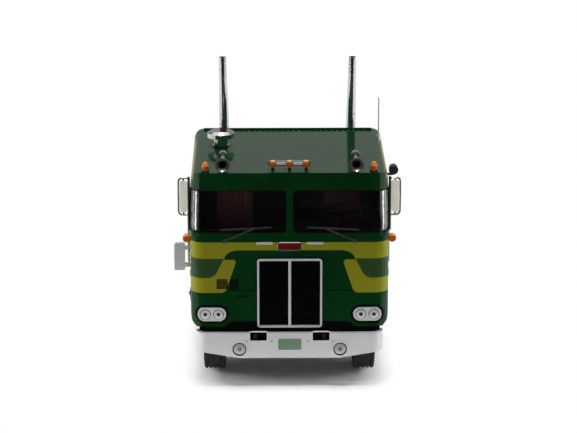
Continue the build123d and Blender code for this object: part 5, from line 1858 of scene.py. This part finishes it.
@dataclass
class Studio:
    """Floor, lamps, world and camera."""

    spot: Point = (-7.875, -734.75, 241.04)
    pitch: float = 16.13
    yaw: float = 0.65
    focal: float = 2522.5  # pixels
    width: int = 577  # pixels
    sensor: float = 36.0
    clip: Span = (0.01, 20.0)  # metres
    floor: tuple[Span, ...] = ((200.0, -106.0), (200.0, 10.0), (330.0, 50.0), (600.0, 600.0))
    floor_dark: Colour = (0.93, 0.93, 0.93)
    floor_light: Colour = (0.96, 0.96, 0.96)
    floor_cloud: float = 9.0
    floor_gloss: float = 0.45
    shade: Span = (25.0, -82.5)  # half width and front edge of the part that keeps the shadow
    shade_corner: float = 24.0
    fade: float = 11.0
    fade_back: Span = (150.0, 120.0)
    far_middle: float = -40.0
    far_radii: Span = (262.0, 430.0)
    far_turns: tuple[int, int, int] = (50, 150, 5)  # first, last and step, in degrees
    far_height: float = 0.5
    far_gloss: float = 0.8
    backdrop: Span = (0.5, 0.8)
    sheen: float = 0.25
    ceiling: Span = (0.72, 0.3)
    overhead: float = 0.8
    ambient: float = 0.02
    lamps: tuple[SoftBox, ...] = (
        SoftBox("top_box", (0, -28, 640), (0, -28, 0), (180, 180), 4.1, mirrored=True),
        SoftBox("right_card", (-185, -45, 42), (-26, -50, 40), (60, 80), 0.26),
        SoftBox("left_card", (185, -45, 42), (26, -50, 40), (60, 80), 0.22),
        SoftBox("front_fill", (0, -900, 50), (0, -60, 30), (500, 90), 3.0),
    )

    def build(self) -> None:
        """Make the whole stage."""
        self.make_floor()
        self.make_far_floor()
        self.make_world()
        for lamp in self.lamps:
            lamp.build()
        self.make_camera()
        bpy.context.scene.view_settings.view_transform = "Standard"

    @staticmethod
    def lay(name: str, outline: list[Point], graph: Graph) -> bpy.types.Object:
        """Lay a flat piece of the stage.

        Args:
            name: name of the piece.
            outline: its corners in millimetres.
            graph: its material.

        Returns:
            The piece.
        """
        mesh = bmesh.new()
        mesh.faces.new([mesh.verts.new(mm(*corner)) for corner in outline])
        data = bpy.data.meshes.new(name)
        mesh.to_mesh(data)
        mesh.free()
        data.materials.append(graph.owner)
        plane = placed(name, data)
        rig.stage(plane)
        return plane

    def make_floor(self) -> None:
        """Pale floor that keeps the shadow and goes to white at its edges."""
        graph = Graph(bpy.data.materials.new("pale_floor"))
        x, y, _ = graph.split(graph.place())
        tone = graph.mix(graph.noise(self.floor_cloud, 2.0), self.floor_dark, self.floor_light)
        matt = graph.node("ShaderNodeBsdfDiffuse", {}, {"Color": tone})
        near = (abs(x) - self.shade[0]).meet(self.shade[1] - y, self.shade_corner)
        away = near.above(0.0, self.fade).most(y.above(*self.fade_back))
        eye, gloss, through = graph.rays()
        seen = graph.blend(eye.most(through) * away, matt, graph.shine("Emission", 1.0))
        both = graph.blend(gloss * away, seen, graph.shine("Emission", self.floor_gloss))
        graph.node("ShaderNodeOutputMaterial", {}, {"Surface": both})
        right = [(x, y, 0.0) for x, y in self.floor]
        self.lay("floor", right + [(-x, y, z) for x, y, z in reversed(right)], graph)

    def make_far_floor(self) -> None:
        """Bright floor far beside the model, which shows only in plated pieces above the roof."""
        graph = Graph(bpy.data.materials.new("far_floor"))
        graph.node("ShaderNodeOutputMaterial", {}, {"Surface": graph.shine("Emission", self.far_gloss)})
        first, last, step = self.far_turns
        turns = [math.radians(turn) for turn in range(first, last + 1, step)]
        near, far = self.far_radii
        corners = [(near, turn) for turn in turns] + [(far, turn) for turn in reversed(turns)]
        for side in Side:
            outline = []
            for r, turn in corners:
                x, y = side.value * r * math.sin(turn), self.far_middle - r * math.cos(turn)
                outline.append((x, y, self.far_height))
            plane = self.lay(f"far_floor_{side.name.lower()}", outline, graph)
            plane.visible_camera = plane.visible_diffuse = False
            plane.visible_shadow = plane.visible_transmission = False

    def make_world(self) -> None:
        """White behind the model; a dark studio ahead of it, which its metal and paint show."""
        world = bpy.data.worlds.new("studio")
        bpy.context.scene.world = world
        graph = Graph(world)
        _, y, z = graph.split(graph.node("ShaderNodeTexCoord", out="Generated"), 1.0)
        eye, gloss, through = graph.rays()
        around = (y.above(*self.backdrop) * self.sheen).most(z.above(*self.ceiling) * self.overhead)
        share = eye.most(through).most(gloss * around)
        both = graph.blend(share, graph.shine("Background", self.ambient), graph.shine("Background", 1.0))
        graph.node("ShaderNodeOutputWorld", {}, {"Surface": both})

    def make_camera(self) -> None:
        """Camera at the photograph's place."""
        data = bpy.data.cameras.new("camera")
        data.sensor_width = self.sensor
        data.lens = self.focal * self.sensor / self.width
        data.clip_start, data.clip_end = self.clip
        camera = placed("camera", data)
        camera.location = mm(*self.spot)
        camera.rotation_euler = (math.radians(90 - self.pitch), 0.0, -math.radians(self.yaw))
        bpy.context.scene.camera = camera


def main() -> None:
    """Load the frame, build each sub-assembly and write the boxes."""
    logging.basicConfig(level=logging.INFO, format="%(name)s: %(message)s")
    frame = Frame()
    drive = {"places": (18.0, 24.7), "width": 5.8, "nut_circle": 3.2, "nut_face": 24.4}
    builders = [
        Cab(frame),
        Nose(frame),
        RoofAndSides(frame),
        Chassis(frame),
        WheelSet(frame, Body.FRONT, "front", places=(21.0,), width=6.2, nut_circle=3.25, nut_face=22.6),
        WheelSet(frame, Body.FIRST_DRIVE, "first_drive", **drive),
        WheelSet(frame, Body.SECOND_DRIVE, "second_drive", **drive),
        Studio(),
    ]
    for builder in builders:
        builder.build()
        LOG.info("built %s", type(builder).__name__)
    frame.write_size("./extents.json")


if __name__ == "__main__":
    main()
